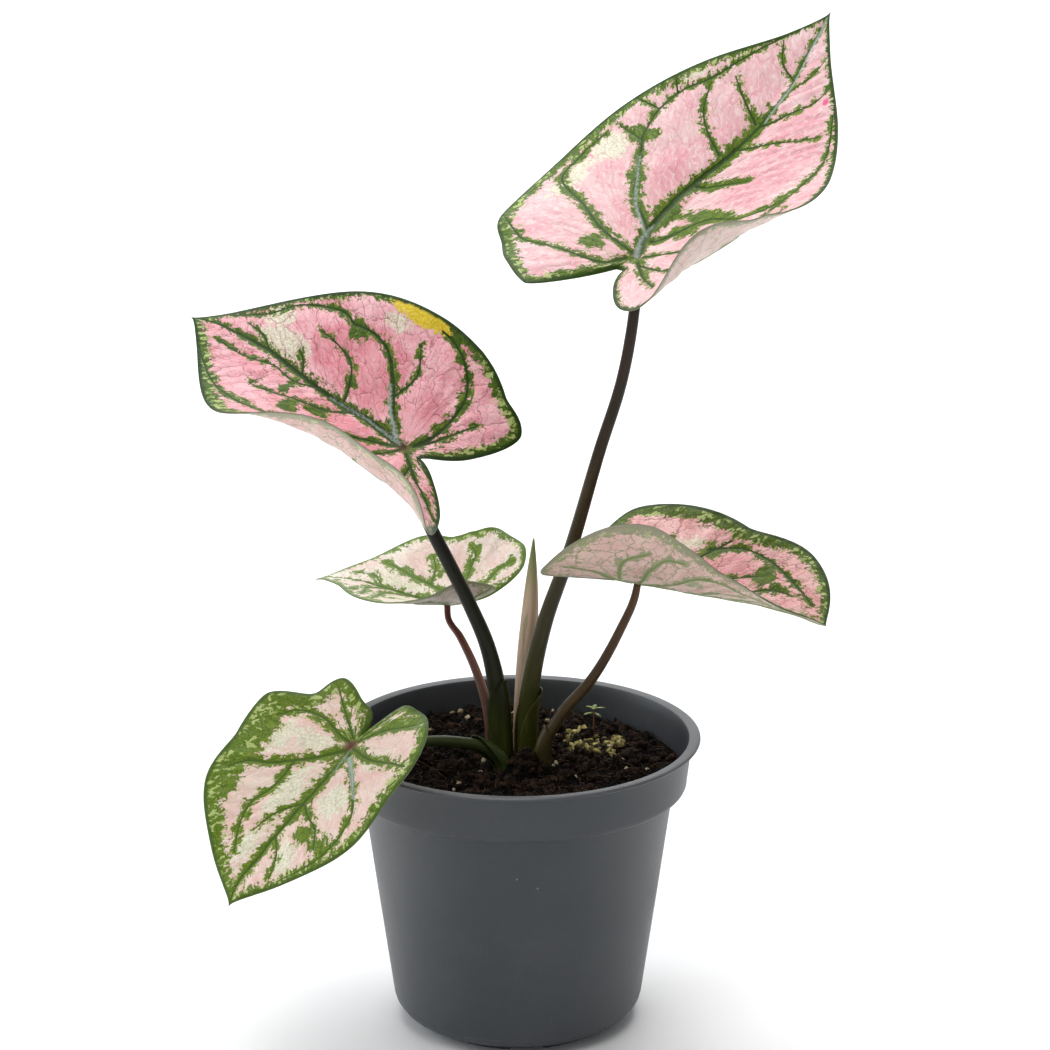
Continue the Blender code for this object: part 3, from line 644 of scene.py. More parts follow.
def tube_frames(points):
    """Two directions across the tube at each of its points, without twist."""
    ways = np.gradient(points, axis=0)
    ways /= np.linalg.norm(ways, axis=1)[:, None]
    side = np.array([1.0, 0.0, 0.0])
    sides = []
    for way in ways:
        side = side - way * side.dot(way)
        side = side / np.linalg.norm(side)
        sides.append(side)
    sides = np.array(sides)
    return sides, np.cross(ways, sides)


def add_values(obj, name, values):
    """Stores one number a point on the mesh."""
    layer = obj.data.attributes.new(name, "FLOAT", "POINT")
    layer.data.foreach_set("value", np.asarray(values, np.float32))


def add_flat_map(obj, flat, scale, name="flat"):
    """A UV map from flat places in millimetres, where scale is the width of the whole map."""
    layer = obj.data.uv_layers.new(name=name)
    corners = np.empty(len(obj.data.loops), np.int32)
    obj.data.loops.foreach_get("vertex_index", corners)
    layer.data.foreach_set("uv", (np.asarray(flat)[corners] / scale + 0.5).astype(np.float32).ravel())


def attribute_of(tree, name):
    """The number that a mesh stores under a name at each point."""
    return make(tree, "ShaderNodeAttribute", {}, attribute_name=name).outputs["Fac"]


def map_of(tree, name):
    """The place on one of a mesh's flat maps."""
    return make(tree, "ShaderNodeUVMap", {}, uv_map=name).outputs[0]


def streaks_of(tree, flat, stretch, detail, roughness=0.5):
    """Noise drawn out along a stem or a leaf."""
    streaked = make(tree, "ShaderNodeMapping", {"Vector": flat, "Scale": stretch}).outputs[0]
    return noise_of(tree, streaked, 1.0, detail, roughness)


def stem_material(name, foot, middle, top):
    """A smooth fleshy skin that changes colour from foot to top, with pale streaks and spots."""
    parts = new_material(name, gloss=0.22)
    tree = parts[1]
    step, blend = partial(step_of, tree), partial(blend_of, tree)
    along = attribute_of(tree, "along")
    flat = map_of(tree, "flat")
    streak = streaks_of(tree, flat, (130.0, 14.0, 1.0), 4.0, 0.6)
    spots = noise_of(tree, flat, 420.0)
    colour = blend(step(along, 0.05, 0.40), foot, middle)
    colour = blend(step(along, 0.45, 0.85), colour, top)
    paler = blend(1.0, colour, (1.9, 1.7, 1.6), "MULTIPLY")
    colour = blend(step(streak, 0.48, 0.72), colour, paler)
    colour = blend(step(spots, 0.60, 0.72, 0.0, 0.35), colour, paler)
    return painted(parts, colour, streak, 0.25, 0.0003, step(streak, 0.2, 0.8, 0.26, 0.42))


def stem_form(points, lengths_at, radius, sides, swell=None):
    """Points and faces of a closed tube, with the along share and the flat place of each point."""
    across, other = tube_frames(points)
    angles = np.arange(sides) * 2 * np.pi / sides
    size = radius[:, None] * (np.ones(sides) if swell is None else swell)
    around = np.cos(angles)[:, None] * across[:, None] + np.sin(angles)[:, None] * other[:, None]
    rings = points[:, None] + size[..., None] * around
    steps = len(points)
    share = np.repeat(lengths_at / lengths_at[-1], sides)
    flat = np.stack([np.tile(angles * radius.mean(), steps), np.repeat(lengths_at, sides)], -1)
    form = np.vstack([rings.reshape(-1, 3), points[:1], points[-1:]])
    share = np.concatenate([share, [0, 1]])
    flat = np.vstack([flat, [(0, 0), (0, lengths_at[-1])]])
    return form, capped_rings(steps, sides), share, flat


def sheath_form(points, radius, start, stop, facing):
    """A thin open sheet that hugs the foot of a stem and ends in a free tongue, as a closed skin."""
    sides, steps = SHEATH_SIDES, SHEATH_STEPS
    across, other = tube_frames(points)
    lengths = np.concatenate([[0], np.cumsum(np.linalg.norm(np.diff(points, axis=0), axis=1))])
    wanted = np.linspace(start, stop, steps)
    middle, side, up = (
        np.stack([np.interp(wanted, lengths, given[:, i]) for i in range(3)], -1)
        for given in (points, across, other)
    )
    size = np.interp(wanted, lengths, radius)
    share = np.linspace(0, 1, steps)
    spread = np.linspace(-1, 1, sides)[None]
    half = math.radians(SHEATH_WRAP) * np.sqrt(np.clip(1 - share**2.2, 0, 1)) + math.radians(SHEATH_TONGUE)
    turn = facing + spread * half[:, None]
    lift = 0.22 + 0.45 * share[:, None] ** 3 + 0.35 * abs(spread) ** 4
    around = np.cos(turn)[..., None] * side[:, None] + np.sin(turn)[..., None] * up[:, None]
    skins = []
    for extra in (0.0, SHEATH_WALL):
        skin = middle[:, None] + (size[:, None] + lift + extra)[..., None] * around
        skins.append(skin.reshape(-1, 3))
    form = np.vstack(skins)
    count = steps * sides
    faces = []
    for step in range(steps - 1):
        for i in range(sides - 1):
            a, b = step * sides + i, step * sides + i + 1
            faces.append((a, b, b + sides, a + sides))
            faces.append((a + count, a + sides + count, b + sides + count, b + count))
    rim = [step * sides for step in range(steps)] + [(steps - 1) * sides + i for i in range(1, sides)]
    rim += [step * sides + sides - 1 for step in range(steps - 2, -1, -1)] + list(range(sides - 2, 0, -1))
    for a, b in zip(rim, rim[1:] + rim[:1]):
        faces.append((b, a, a + count, b + count))
    along = np.tile(np.repeat(wanted / lengths[-1], sides), 2)
    flat = np.tile(np.stack([(turn * size[:, None]).ravel(), np.repeat(wanted, sides)], -1), (2, 1))
    return form, faces, along, flat


for stem_number, stem in STEMS.items():
    junction, angles = JUNCTIONS[stem_number]
    below = -turn_of(angles)[:, 2]
    neck = [tuple(np.array(junction) + below * reach) for reach in (NECK_LENGTH, STEM_TOP_GAP)]
    stem_points, stem_wanted, stem_lengths = curve_points(list(stem["path"]) + neck, STEM_STEPS)
    stem_radius = smooth_between(stem_lengths, stem["radius"], stem_wanted)
    form, faces, along, flat = stem_form(stem_points, stem_wanted, stem_radius, STEM_SIDES)
    if stem["sheath"]:
        more = sheath_form(stem_points, stem_radius, *stem["sheath"])
        faces = faces + [tuple(v + len(form) for v in face) for face in more[1]]
        form, flat = np.vstack([form, more[0]]), np.vstack([flat, more[3]])
        along = np.concatenate([along, more[2]])
    skin = stem_material("stem_skin_" + stem_number, stem["foot"], stem["middle"], stem["top"])
    stalk = mesh_object("leaf_stem_" + stem_number, form, faces, [skin])
    add_values(stalk, "along", along)
    add_flat_map(stalk, flat, STEM_MAP)
    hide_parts("petiole_" + stem_number)
    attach(stalk, "root")


# Furled leaf: the newest blade, rolled round itself into a tapered spike. Its free edge winds
# up the outside as a fine step, and its colour runs from pale pink beige to a green tip.

SPEAR_PATH = ((0.6, 9.6, 79.8), (1.4, 8.8, 99.6), (3.0, 8.2, 120.7), (4.2, 7.2, 141.7), (5.2, 6.2, 163.0))
SPEAR_RADIUS = (2.2, 2.8, 3.35, 2.45, 0.25)
SPEAR_SIDES = 72
SPEAR_STEPS = 150
SEAM_START = -1.9
SEAM_WIND = 2.6
SEAM_STEP = 0.11


def spear_material():
    """Pale pink beige with greenish streaks, greener at the foot, the tip and the free edge."""
    parts = new_material("furled_leaf", roughness=0.45, gloss=0.4)
    tree = parts[1]
    step, blend = partial(step_of, tree), partial(blend_of, tree)
    along, seam = attribute_of(tree, "along"), attribute_of(tree, "seam")
    streak = streaks_of(tree, map_of(tree, "flat"), (170.0, 10.0, 1.0), 5.0)
    colour = blend(step(streak, 0.35, 0.65), (0.43, 0.30, 0.19), (0.58, 0.42, 0.30))
    colour = blend(step(streak, 0.62, 0.70, 0.0, 0.6), colour, (0.22, 0.24, 0.10))
    colour = blend(step(along, 0.70, 0.97), colour, (0.16, 0.20, 0.055))
    colour = blend(step(along, 0.30, 0.05, 0.0, 0.8), colour, (0.17, 0.15, 0.06))
    colour = blend(step(seam, 0.90, 1.0, 0.0, 0.9), colour, (0.12, 0.15, 0.04))
    return painted(parts, colour, streak, 0.3, 0.0003)


spear_points, spear_wanted, spear_lengths = curve_points(SPEAR_PATH, SPEAR_STEPS)
spear_radius = smooth_between(spear_lengths, SPEAR_RADIUS, spear_wanted)
spear_angles = np.arange(SPEAR_SIDES) * 2 * np.pi / SPEAR_SIDES
seam_turn = SEAM_START + SEAM_WIND * spear_wanted / spear_wanted[-1]
seam_share = ((spear_angles[None] - seam_turn[:, None]) / (2 * np.pi)) % 1.0
spear_swell = 0.94 + SEAM_STEP * seam_share
spear_form = stem_form(spear_points, spear_wanted, spear_radius, SPEAR_SIDES, spear_swell)
spear = mesh_object("furled_leaf", spear_form[0], spear_form[1], [spear_material()])
add_values(spear, "along", spear_form[2])
add_values(spear, "seam", np.concatenate([seam_share.ravel(), [0, 0]]))
add_flat_map(spear, spear_form[3], STEM_MAP)
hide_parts("spear")
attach(spear, "root")


# Leaf blades: thin heart-shaped blades, each cupped and waved in its own way, with their veins
# sunk above and raised beneath. Pink fields show between green veins and a green margin.

BLADES = {
    "1": dict(
        length=109.0, width=(0.85, 0.96), lobe=(0.63, 0.83), lift=(48, 4), lobe_turn=(20, -17), bow=25,
        fold_left=(13, 23, -3), fold_right=(12, 13, 10), cup_left=(-26, -28, 20), cup_right=(55, 12, -3),
        edge_left=(1.00, 0.87, 0.77, 0.67, 0.58, 0.55, 0.50, 0.53, 0.56, 0.13, 0.12),
        edge_right=(1.00, 0.87, 0.77, 0.67, 0.58, 0.55, 0.66, 0.53, 0.39, 0.23, 0.12),
        wave=(0.9, 7, 0.4),
    ),
    "2": dict(
        length=84.0, width=(1.14, 0.92), lobe=(0.76, 0.69), lift=(11, -18), lobe_turn=(-50, 11), bow=-8,
        fold_left=(0, 4, -6), fold_right=(9, 19, -7), cup_left=(42, 47, -30), cup_right=(-8, 14, 2),
        edge_left=(1.00, 0.88, 0.78, 0.70, 0.60, 0.54, 0.64, 0.55, 0.43, 0.24, 0.12),
        edge_right=(1.00, 0.88, 0.78, 0.70, 0.60, 0.54, 0.52, 0.59, 0.36, 0.15, 0.12),
        wave=(0.7, 6, 1.0),
    ),
    "3": dict(
        length=48.5, width=(1.02, 1.11), lobe=(1.00, 1.12), lift=(82, -93), lobe_turn=(29, 40), bow=-6,
        fold_left=(22, 2, 1), fold_right=(36, 29, 4), cup_left=(10, 2, -1), cup_right=(16, 29, 9),
        edge_left=(1.00, 0.90, 0.77, 0.73, 0.58, 0.57, 0.60, 0.58, 0.50, 0.22, 0.12),
        edge_right=(1.00, 0.90, 0.77, 0.73, 0.58, 0.57, 0.65, 0.64, 0.56, 0.31, 0.12),
        wave=(0.7, 8, 0.0),
    ),
    "4": dict(
        length=63.1, width=(1.10, 1.09), lobe=(0.99, 1.01), lift=(21, -29), lobe_turn=(-26, -43), bow=25,
        fold_left=(-6, 25, 34), fold_right=(13, 12, 18), cup_left=(-3, 29, 19), cup_right=(19, 42, -40),
        edge_left=(1.00, 0.97, 0.86, 0.64, 0.60, 0.61, 0.51, 0.58, 0.53, 0.30, 0.12),
        edge_right=(1.00, 0.97, 0.86, 0.64, 0.60, 0.61, 0.61, 0.56, 0.51, 0.30, 0.12),
        wave=(0.8, 7, 2.0),
    ),
    "5": dict(
        length=66.0, width=(0.94, 1.00), lobe=(0.71, 0.76), lift=(5, -26), lobe_turn=(-18, -14), bow=4,
        fold_left=(18, 8, -2), fold_right=(7, 8, 10), cup_left=(15, -2, -17), cup_right=(6, 14, 1),
        edge_left=(1.00, 0.90, 0.80, 0.73, 0.60, 0.59, 0.52, 0.45, 0.42, 0.27, 0.12),
        edge_right=(1.00, 0.90, 0.80, 0.73, 0.60, 0.59, 0.46, 0.55, 0.36, 0.29, 0.12),
        wave=(0.8, 7, 1.5),
    ),
}
EDGE_ANGLES = (0, 10, 25, 45, 70, 95, 120, 142, 158, 170, 180)
FOLD_PLACES = (-0.5, 0.3, 1.0)
CUP_SPAN = 40.0
BLADE_THICKNESS = 0.55
EDGE_ROUNDING = 0.14
MIDRIB_BLEND = 5
TIP_WIDTH = 2.4
TIP_LENGTH = 8
VEIN_SINK = 0.30
VEIN_RAISE = 0.75
PUFF = 0.50
PUFF_REACH = 2.4
RIPPLE = 0.6
RIPPLE_SCALE = 0.09
FOLD_RELIEF = 0.16
FOLD_PITCH = 1.05
SIDE_VEIN_SLOPE = 0.75
SIDE_VEIN_SPREAD = 0.32
GRID = 0.53
ROW_HEIGHT = 0.866
EDGE_SAMPLES = 6001
FLAT_MAP = 240.0

# Veins of each blade on its flat pattern. Each gives the half-width of its line at the start and
# at the end, then of its green band, and the way it takes in shares of the blade's length.
VEINS = {
    "1": (
        (1.1, 0.25, 1.9, 0.9, (0, 0), (-.03, .1), (-.04, .2), (-.03, .35), (-.01, .45), (.015, .6), (.03, .7),
         (.01, .85), (0, 1)),
        (0.0, 0.0, 2.7, 2.4, (-.01, .44), (.005, .53), (.02, .66)),
        (0.55, 0.3, 2.1, 1.5, (-.005, .03), (-.05, .12), (-.13, .18), (-.18, .26), (-.23, .34), (-.27, .40)),
        (0.3, 0.2, 0.8, 0.7, (-.27, .40), (-.29, .5), (-.28, .57), (-.22, .66), (-.18, .75), (-.1, .88)),
        (0.25, 0.15, 0.7, 0.4, (-.26, .385), (-.36, .40)),
        (0.25, 0.15, 0.7, 0.4, (-.29, .50), (-.38, .50)),
        (0.25, 0.15, 0.7, 0.4, (-.28, .57), (-.33, .62)),
        (0.45, 0.25, 1.7, 1.2, (-.01, 0), (-.08, .01), (-.15, .03), (-.25, .09), (-.33, .13), (-.39, .17),
         (-.40, .27), (-.38, .36)),
        (0.45, 0.2, 1.3, 0.7, (-.02, -.03), (-.06, -.1), (-.12, -.12), (-.22, -.13), (-.30, -.13),
         (-.38, -.08), (-.44, -.03)),
        (0.28, 0.15, 0.8, 0.4, (-.03, .46), (-.1, .5), (-.16, .55), (-.21, .64)),
        (0.28, 0.15, 0.8, 0.4, (.0, .60), (-.1, .66), (-.16, .7)),
        (0.22, 0.12, 0.6, 0.3, (.02, .77), (-.05, .8), (-.1, .86)),
        (0.35, 0.2, 2.3, 1.3, (-.03, .33), (.03, .36), (.14, .4)),
        (0.28, 0.12, 0.7, 0.3, (0, .5), (.08, .54), (.2, .59), (.28, .63)),
        (0.28, 0.12, 0.7, 0.3, (.02, .6), (.1, .67), (.17, .75), (.19, .8)),
        (0.22, 0.12, 0.5, 0.3, (.03, .73), (.08, .8), (.1, .87)),
        (0.6, 0.3, 2.0, 1.2, (0, .08), (.05, .13), (.12, .21), (.25, .22), (.34, .3)),
        (0.3, 0.2, 0.9, 0.8, (.34, .22), (.37, .4), (.37, .52), (.33, .63), (.27, .72)),
        (0.4, 0.2, 1.1, 0.6, (.02, .0), (.15, .03), (.3, .07), (.4, .14), (.41, .26)),
        (0.45, 0.2, 1.2, 0.5, (.02, -.03), (.1, -.12), (.2, -.2)),
        (0.35, 0.2, 0.9, 0.6, (.04, -.05), (.18, -.1), (.32, -.12), (.42, -.04)),
    ),
    "2": (
        (1.1, 0.25, 2.1, 1.0, (0, 0), (.01, .15), (0, .3), (.01, .5), (.03, .65), (.03, .8), (.02, .95),
         (0, 1)),
        (0.6, 0.3, 1.5, 1.0, (.02, .06), (.12, .14), (.22, .22), (.30, .31), (.32, .4), (.31, .46)),
        (0.3, 0.15, 0.9, 0.5, (.31, .46), (.33, .5), (.32, .6), (.28, .68), (.2, .75), (.1, .88)),
        (0.5, 0.25, 1.5, 0.9, (.03, -.03), (.1, -.06), (.2, -.075), (.32, -.06), (.4, 0), (.45, .07),
         (.47, .13), (.475, .17)),
        (0.3, 0.15, 0.7, 0.3, (.02, .3), (.1, .33), (.17, .38), (.2, .45), (.22, .55)),
        (0.25, 0.12, 0.5, 0.3, (.02, .5), (.07, .53), (.1, .57)),
        (0.25, 0.12, 0.5, 0.3, (.03, .66), (.08, .72), (.1, .8)),
        (0.35, 0.15, 0.8, 0.5, (.04, -.04), (.1, -.08), (.25, -.17)),
        (0.3, 0.12, 0.3, 0.2, (.14, .16), (.27, .14), (.38, .2)),
        (0.55, 0.3, 1.3, 0.9, (-.02, .03), (-.1, .13), (-.18, .2), (-.25, .26), (-.3, .3)),
        (0.3, 0.15, 1.4, 1.0, (-.3, .3), (-.34, .42), (-.33, .6), (-.25, .75), (-.12, .9)),
        (0.3, 0.12, 0.6, 0.3, (0, .24), (-.08, .33), (-.12, .42), (-.16, .53), (-.17, .62), (-.12, .6)),
        (0.3, 0.12, 0.6, 0.3, (0, .42), (-.04, .5), (-.02, .6), (-.05, .7), (-.05, .85)),
        (0.35, 0.15, 0.9, 0.5, (-.02, .0), (-.12, .04), (-.25, .1), (-.36, .2)),
        (0.45, 0.2, 1.2, 0.7, (-.02, -.03), (-.08, -.1), (-.16, -.2), (-.24, -.3)),
        (0.3, 0.15, 0.8, 0.5, (-.06, -.08), (-.2, -.1), (-.34, -.08), (-.44, .02)),
    ),
    "3": (
        (0.7, 0.2, 1.7, 0.8, (0, 0), (.01, .3), (0, .6), (.01, .8), (0, 1)),
        (0.4, 0.2, 1.6, 1.3, (.02, 0), (.12, .1), (.16, .2), (.2, .35), (.25, .5), (.28, .6)),
        (0.35, 0.2, 1.8, 1.4, (.02, -.01), (.1, 0), (.2, -.08), (.35, -.1), (.45, -.12), (.5, -.07)),
        (0.3, 0.15, 1.6, 1.2, (.02, -.04), (.12, -.16), (.19, -.3), (.25, -.35), (.3, -.5)),
        (0.3, 0.15, 1.1, 0.9, (.16, .2), (.3, .22), (.42, .3)),
        (0.4, 0.2, 1.4, 1.1, (-.02, .02), (-.14, .12), (-.24, .22), (-.3, .36)),
        (0.3, 0.15, 1.3, 1.0, (0, .3), (-.15, .42), (-.2, .42), (-.36, .4), (-.5, .38)),
        (0.3, 0.15, 1.3, 1.0, (0, .46), (-.15, .55), (-.28, .52), (-.4, .5)),
        (0.35, 0.2, 1.3, 0.9, (-.02, -.02), (-.16, -.06), (-.34, -.05), (-.48, .04)),
        (0.35, 0.15, 1.2, 0.8, (-.02, -.04), (-.1, -.18), (-.2, -.32), (-.26, -.46)),
        (0.25, 0.12, 0.9, 0.6, (.01, .5), (.12, .62), (.14, .76)),
        (0.25, 0.12, 0.8, 0.5, (.0, .66), (-.1, .76), (-.12, .84)),
    ),
    "4": (
        (0.8, 0.2, 1.9, 0.9, (0, 0), (-.01, .15), (0, .35), (0, .6), (.01, .85), (0, 1)),
        (0.5, 0.25, 1.3, 0.9, (-.02, .03), (-.1, .12), (-.2, .2), (-.3, .3), (-.4, .4)),
        (0.3, 0.15, 1.0, 0.8, (-.33, .3), (-.36, .45), (-.32, .58), (-.22, .72), (-.1, .88)),
        (0.3, 0.15, 0.9, 0.5, (-.01, .25), (-.1, .36), (-.16, .48), (-.2, .6)),
        (0.3, 0.15, 1.1, 0.6, (0, .45), (-.07, .56), (-.12, .68), (-.12, .76)),
        (0.45, 0.2, 1.2, 0.8, (-.02, 0), (-.16, .02), (-.3, .05), (-.42, .12)),
        (0.45, 0.2, 1.2, 0.8, (-.02, -.03), (-.12, -.14), (-.24, -.24), (-.32, -.36)),
        (0.3, 0.15, 0.8, 0.5, (-.08, -.09), (-.24, -.1), (-.4, -.08), (-.48, .02)),
        (0.5, 0.25, 1.3, 0.9, (.02, .03), (.1, .12), (.2, .2), (.3, .3), (.38, .42)),
        (0.3, 0.15, 1.0, 0.8, (.33, .34), (.36, .46), (.3, .6), (.2, .74), (.1, .88)),
        (0.3, 0.15, 0.9, 0.5, (0, .25), (.1, .36), (.18, .5), (.2, .6)),
        (0.3, 0.15, 0.8, 0.5, (0, .45), (.07, .56), (.12, .7)),
        (0.45, 0.2, 1.2, 0.8, (.02, 0), (.16, .02), (.32, .05), (.45, .14), (.46, .26)),
        (0.45, 0.2, 1.2, 0.8, (.02, -.03), (.12, -.14), (.24, -.24), (.32, -.36)),
        (0.3, 0.15, 0.8, 0.5, (.08, -.09), (.24, -.1), (.4, -.08), (.48, .02)),
    ),
    "5": (
        (0.8, 0.25, 2.0, 1.5, (0, 0), (-.02, .1), (-.02, .3), (-.01, .5), (0, .7), (.02, .9), (0, 1)),
        (0.0, 0.0, 2.9, 2.6, (-.02, .2), (-.02, .33), (-.01, .5)),
        (0.5, 0.3, 2.0, 1.6, (.0, .03), (.1, .12), (.2, .2), (.3, .27), (.4, .32), (.47, .4)),
        (0.3, 0.15, 1.6, 1.1, (.2, .2), (.2, .4), (.24, .5), (.22, .6), (.14, .76)),
        (0.3, 0.15, 0.9, 0.6, (.02, -.04), (.2, -.18), (.32, -.28)),
        (0.4, 0.2, 1.7, 1.3, (.02, -.01), (.1, -.03), (.25, -.08), (.4, -.05), (.46, .02)),
        (0.25, 0.15, 0.8, 0.5, (0, .4), (.08, .5), (.12, .62)),
        (0.5, 0.25, 1.0, 0.8, (-.03, .05), (-.2, .2), (-.3, .3), (-.36, .38), (-.38, .52)),
        (0.4, 0.2, 1.7, 1.3, (-.03, .02), (-.2, .07), (-.4, .08), (-.5, .09)),
        (0.4, 0.2, 2.0, 1.8, (-.02, -.03), (-.12, -.1), (-.3, -.14), (-.46, -.16)),
        (0.3, 0.15, 1.1, 0.9, (-.03, .4), (-.12, .46), (-.2, .5), (-.28, .6)),
        (0.25, 0.15, 1.0, 0.7, (-.01, .6), (-.1, .7), (-.14, .8)),
        (0.3, 0.15, 1.0, 0.8, (-.38, .52), (-.32, .66), (-.2, .8)),
        (0.3, 0.15, 0.9, 0.6, (-.02, -.05), (-.1, -.2), (-.2, -.28)),
    ),
}

# Patches of each blade: green, cream, yellow and rose ones as (x, y, half width, half height) in
# shares of the length, and the ways of the painted bluish-white reflection of the sky along the veins,
# with their half-widths.
PATCHES = {
    "1": dict(
        green=((-.13, -.045, .03, .03), (.13, .215, .11, .035), (.08, .14, .05, .035), (.35, .31, .025, .06),
               (-.27, .40, .04, .03), (-.03, .20, .035, .05)),
        cream=((-.33, .32, .06, .06), (-.36, .18, .04, .10), (-.30, .66, .05, .06)),
        rose=((.21, .75, .012, .012),), deep=((.20, .50, .12, .22), (-.12, .32, .05, .12)),
        sheen=((1.0, 0.2, (-.005, .0), (-.03, .07), (-.035, .14)), (0.6, 0.2, (-.03, .09), (-.12, .17),
               (-.18, .26), (-.23, .34)),
               (0.5, 0.7, (.025, .62), (.03, .75), (.015, .86), (0, .98))),
        margin=((.014, .036, .044, .036, .020), (.014, .018, .018, .014, .012)),
    ),
    "2": dict(
        green=((-.2, .43, .06, .03), (-.12, .35, .035, .05), (-.27, .38, .02, .02), (-.08, .5, .05, .015),
               (.30, .43, .04, .04)),
        cream=((.09, .64, .07, .12), (.2, .72, .06, .06), (-.30, .80, .05, .05), (.41, .33, .04, .05)),
        yellow=((.485, .275, .042, .13),), deep=((.2, .35, .16, .2), (-.12, .2, .1, .2)),
        sheen=((0.8, 0.4, (.02, .05), (.10, .14), (.18, .2)), (0.5, 0.2, (.01, .02), (.01, .2), (.0, .35))),
        margin=((.050, .060, .045, .030, .015), (.024, .028, .044, .046, .020)),
    ),
    "3": dict(
        green=((.30, .18, .05, .04), (-.30, .60, .06, .04)),
        cream=((-.25, .25, .12, .2), (.1, .4, .06, .2)),
            deep=((.35, .4, .1, .12), (.45, .05, .08, .08), (.33, -.3, .08, .08)),
        sheen=(),
        margin=((.050, .055, .060, .050, .030), (.040, .050, .055, .050, .030)),
    ),
    "4": dict(
        green=((-.2, .6, .07, .05), (-.32, .32, .05, .05), (-.12, .68, .03, .05), (.24, .3, .06, .05)),
        cream=((-.36, .2, .04, .08), (.1, .8, .05, .05)),
            deep=((-.2, .4, .12, .15), (.2, .4, .12, .2)),
        sheen=((0.6, 0.3, (-.01, .02), (-.01, .3)),),
        margin=((.050, .085, .085, .055, .030), (.040, .060, .060, .045, .030)),
    ),
    "5": dict(
        green=((-.17, .55, .05, .05), (-.33, .58, .05, .06), (-.3, -.16, .2, .05), (.5, .2, .1, .3),
               (.44, .5, .08, .16)),
        cream=((.12, .36, .08, .16), (-.2, .34, .09, .09), (.2, .06, .11, .06), (-.15, .7, .06, .1),
               (.1, .7, .05, .12), (-.25, .08, .1, .05), (.36, .12, .06, .1)),
        deep=((-.28, .18, .08, .05), (.1, .6, .05, .08)),
        sheen=((0.9, 0.5, (-.06, .08), (-.2, .2), (-.3, .3)), (0.5, 0.2, (-.01, .02), (-.03, .2))),
        margin=((.040, .055, .060, .060, .030), (.060, .100, .110, .080, .040)),
    ),
}


def three_way(values, place):
    """The value at a place along the leaf, from those at its lobes, middle and tip, in radians."""
    a, b, c = (math.radians(v) for v in values)
    p, q, r = FOLD_PLACES
    return (
        a * (place - q) * (place - r) / ((p - q) * (p - r))
        + b * (place - p) * (place - r) / ((q - p) * (q - r))
        + c * (place - p) * (place - q) / ((r - p) * (r - q))
    )


def midrib(leaf, lobe_turn):
    """Places, points, pitch and heading along the bent midrib, for one side of the leaf."""
    length = leaf["length"]
    along = np.linspace(-0.9 * length, length, 400)
    share = along / length
    front, back = np.maximum(share, 0), np.minimum(share, 0)
    pitch = math.radians(leaf["lift"][0]) * front + math.radians(leaf["lift"][1]) * front**2
    pitch = pitch + math.radians(lobe_turn) * back
    head = math.radians(leaf["bow"]) * front
    way = np.stack([np.sin(head) * np.cos(pitch), np.cos(head) * np.cos(pitch), np.sin(pitch)], -1)
    points = np.cumsum(way, 0) * (along[1] - along[0])
    start = int(np.argmin(abs(along)))
    return along, points - points[start] - way[start] * along[start], pitch, head


def bend(leaf, x, y):
    """Bends flat pattern points about the junction, before the leaf is turned."""
    along, left, left_pitch, head = midrib(leaf, leaf["lobe_turn"][0])
    _, right, right_pitch, _ = midrib(leaf, leaf["lobe_turn"][1])
    share = np.clip((x + MIDRIB_BLEND) / (2 * MIDRIB_BLEND), 0, 1)
    share = share * share * (3 - 2 * share)
    rib = [
        np.interp(y, along, left[:, i]) * (1 - share) + np.interp(y, along, right[:, i]) * share
        for i in range(3)
    ]
    rib = np.stack(rib, -1)
    pitch = np.interp(y, along, left_pitch) * (1 - share) + np.interp(y, along, right_pitch) * share
    head = np.interp(y, along, head)
    way = np.stack([np.sin(head) * np.cos(pitch), np.cos(head) * np.cos(pitch), np.sin(pitch)], -1)
    side = np.stack([np.cos(head), -np.sin(head), 0 * head], -1)
    up = np.cross(side, way)
    place = y / leaf["length"]
    fold = np.where(x < 0, three_way(leaf["fold_left"], place), three_way(leaf["fold_right"], place))
    cup = np.where(x < 0, three_way(leaf["cup_left"], place), three_way(leaf["cup_right"], place)) / CUP_SPAN
    cup = np.where(abs(cup) < 1e-5, 1e-5, cup)
    out = (np.sin(fold + cup * abs(x)) - np.sin(fold)) / cup
    rise = (np.cos(fold) - np.cos(fold + cup * abs(x))) / cup
    return rib + side * (np.sign(x) * out)[..., None] + up * rise[..., None]


def edge_reach(leaf, angles):
    """Reach of the edge in millimetres at angles from the tip, left ones negative."""
    turn = np.degrees(abs(angles))
    left = smooth_between(EDGE_ANGLES, leaf["edge_left"], turn)
    right = smooth_between(EDGE_ANGLES, leaf["edge_right"], turn)
    return np.where(angles < 0, left, right) * leaf["length"]


def edge_loop(leaf, spacing):
    """The edge of the flat pattern as evenly spaced points, from the sinus round the tip and back."""
    angles = np.linspace(-math.pi, math.pi, EDGE_SAMPLES)[1:]
    reach = edge_reach(leaf, angles)
    x = reach * np.sin(angles) * np.where(angles < 0, *leaf["width"])
    y = reach * np.cos(angles)
    y = np.where(y < 0, y * np.where(angles < 0, *leaf["lobe"]), y)
    loop = np.stack([x, y], -1)
    lengths = np.concatenate([[0], np.cumsum(np.hypot(*np.diff(np.vstack([loop, loop[:1]]), axis=0).T))])
    closed = np.vstack([loop, loop[:1]])
    wanted = np.linspace(0, lengths[-1], int(lengths[-1] / spacing) + 1)[:-1]
    return np.stack([np.interp(wanted, lengths, closed[:, i]) for i in range(2)], -1)


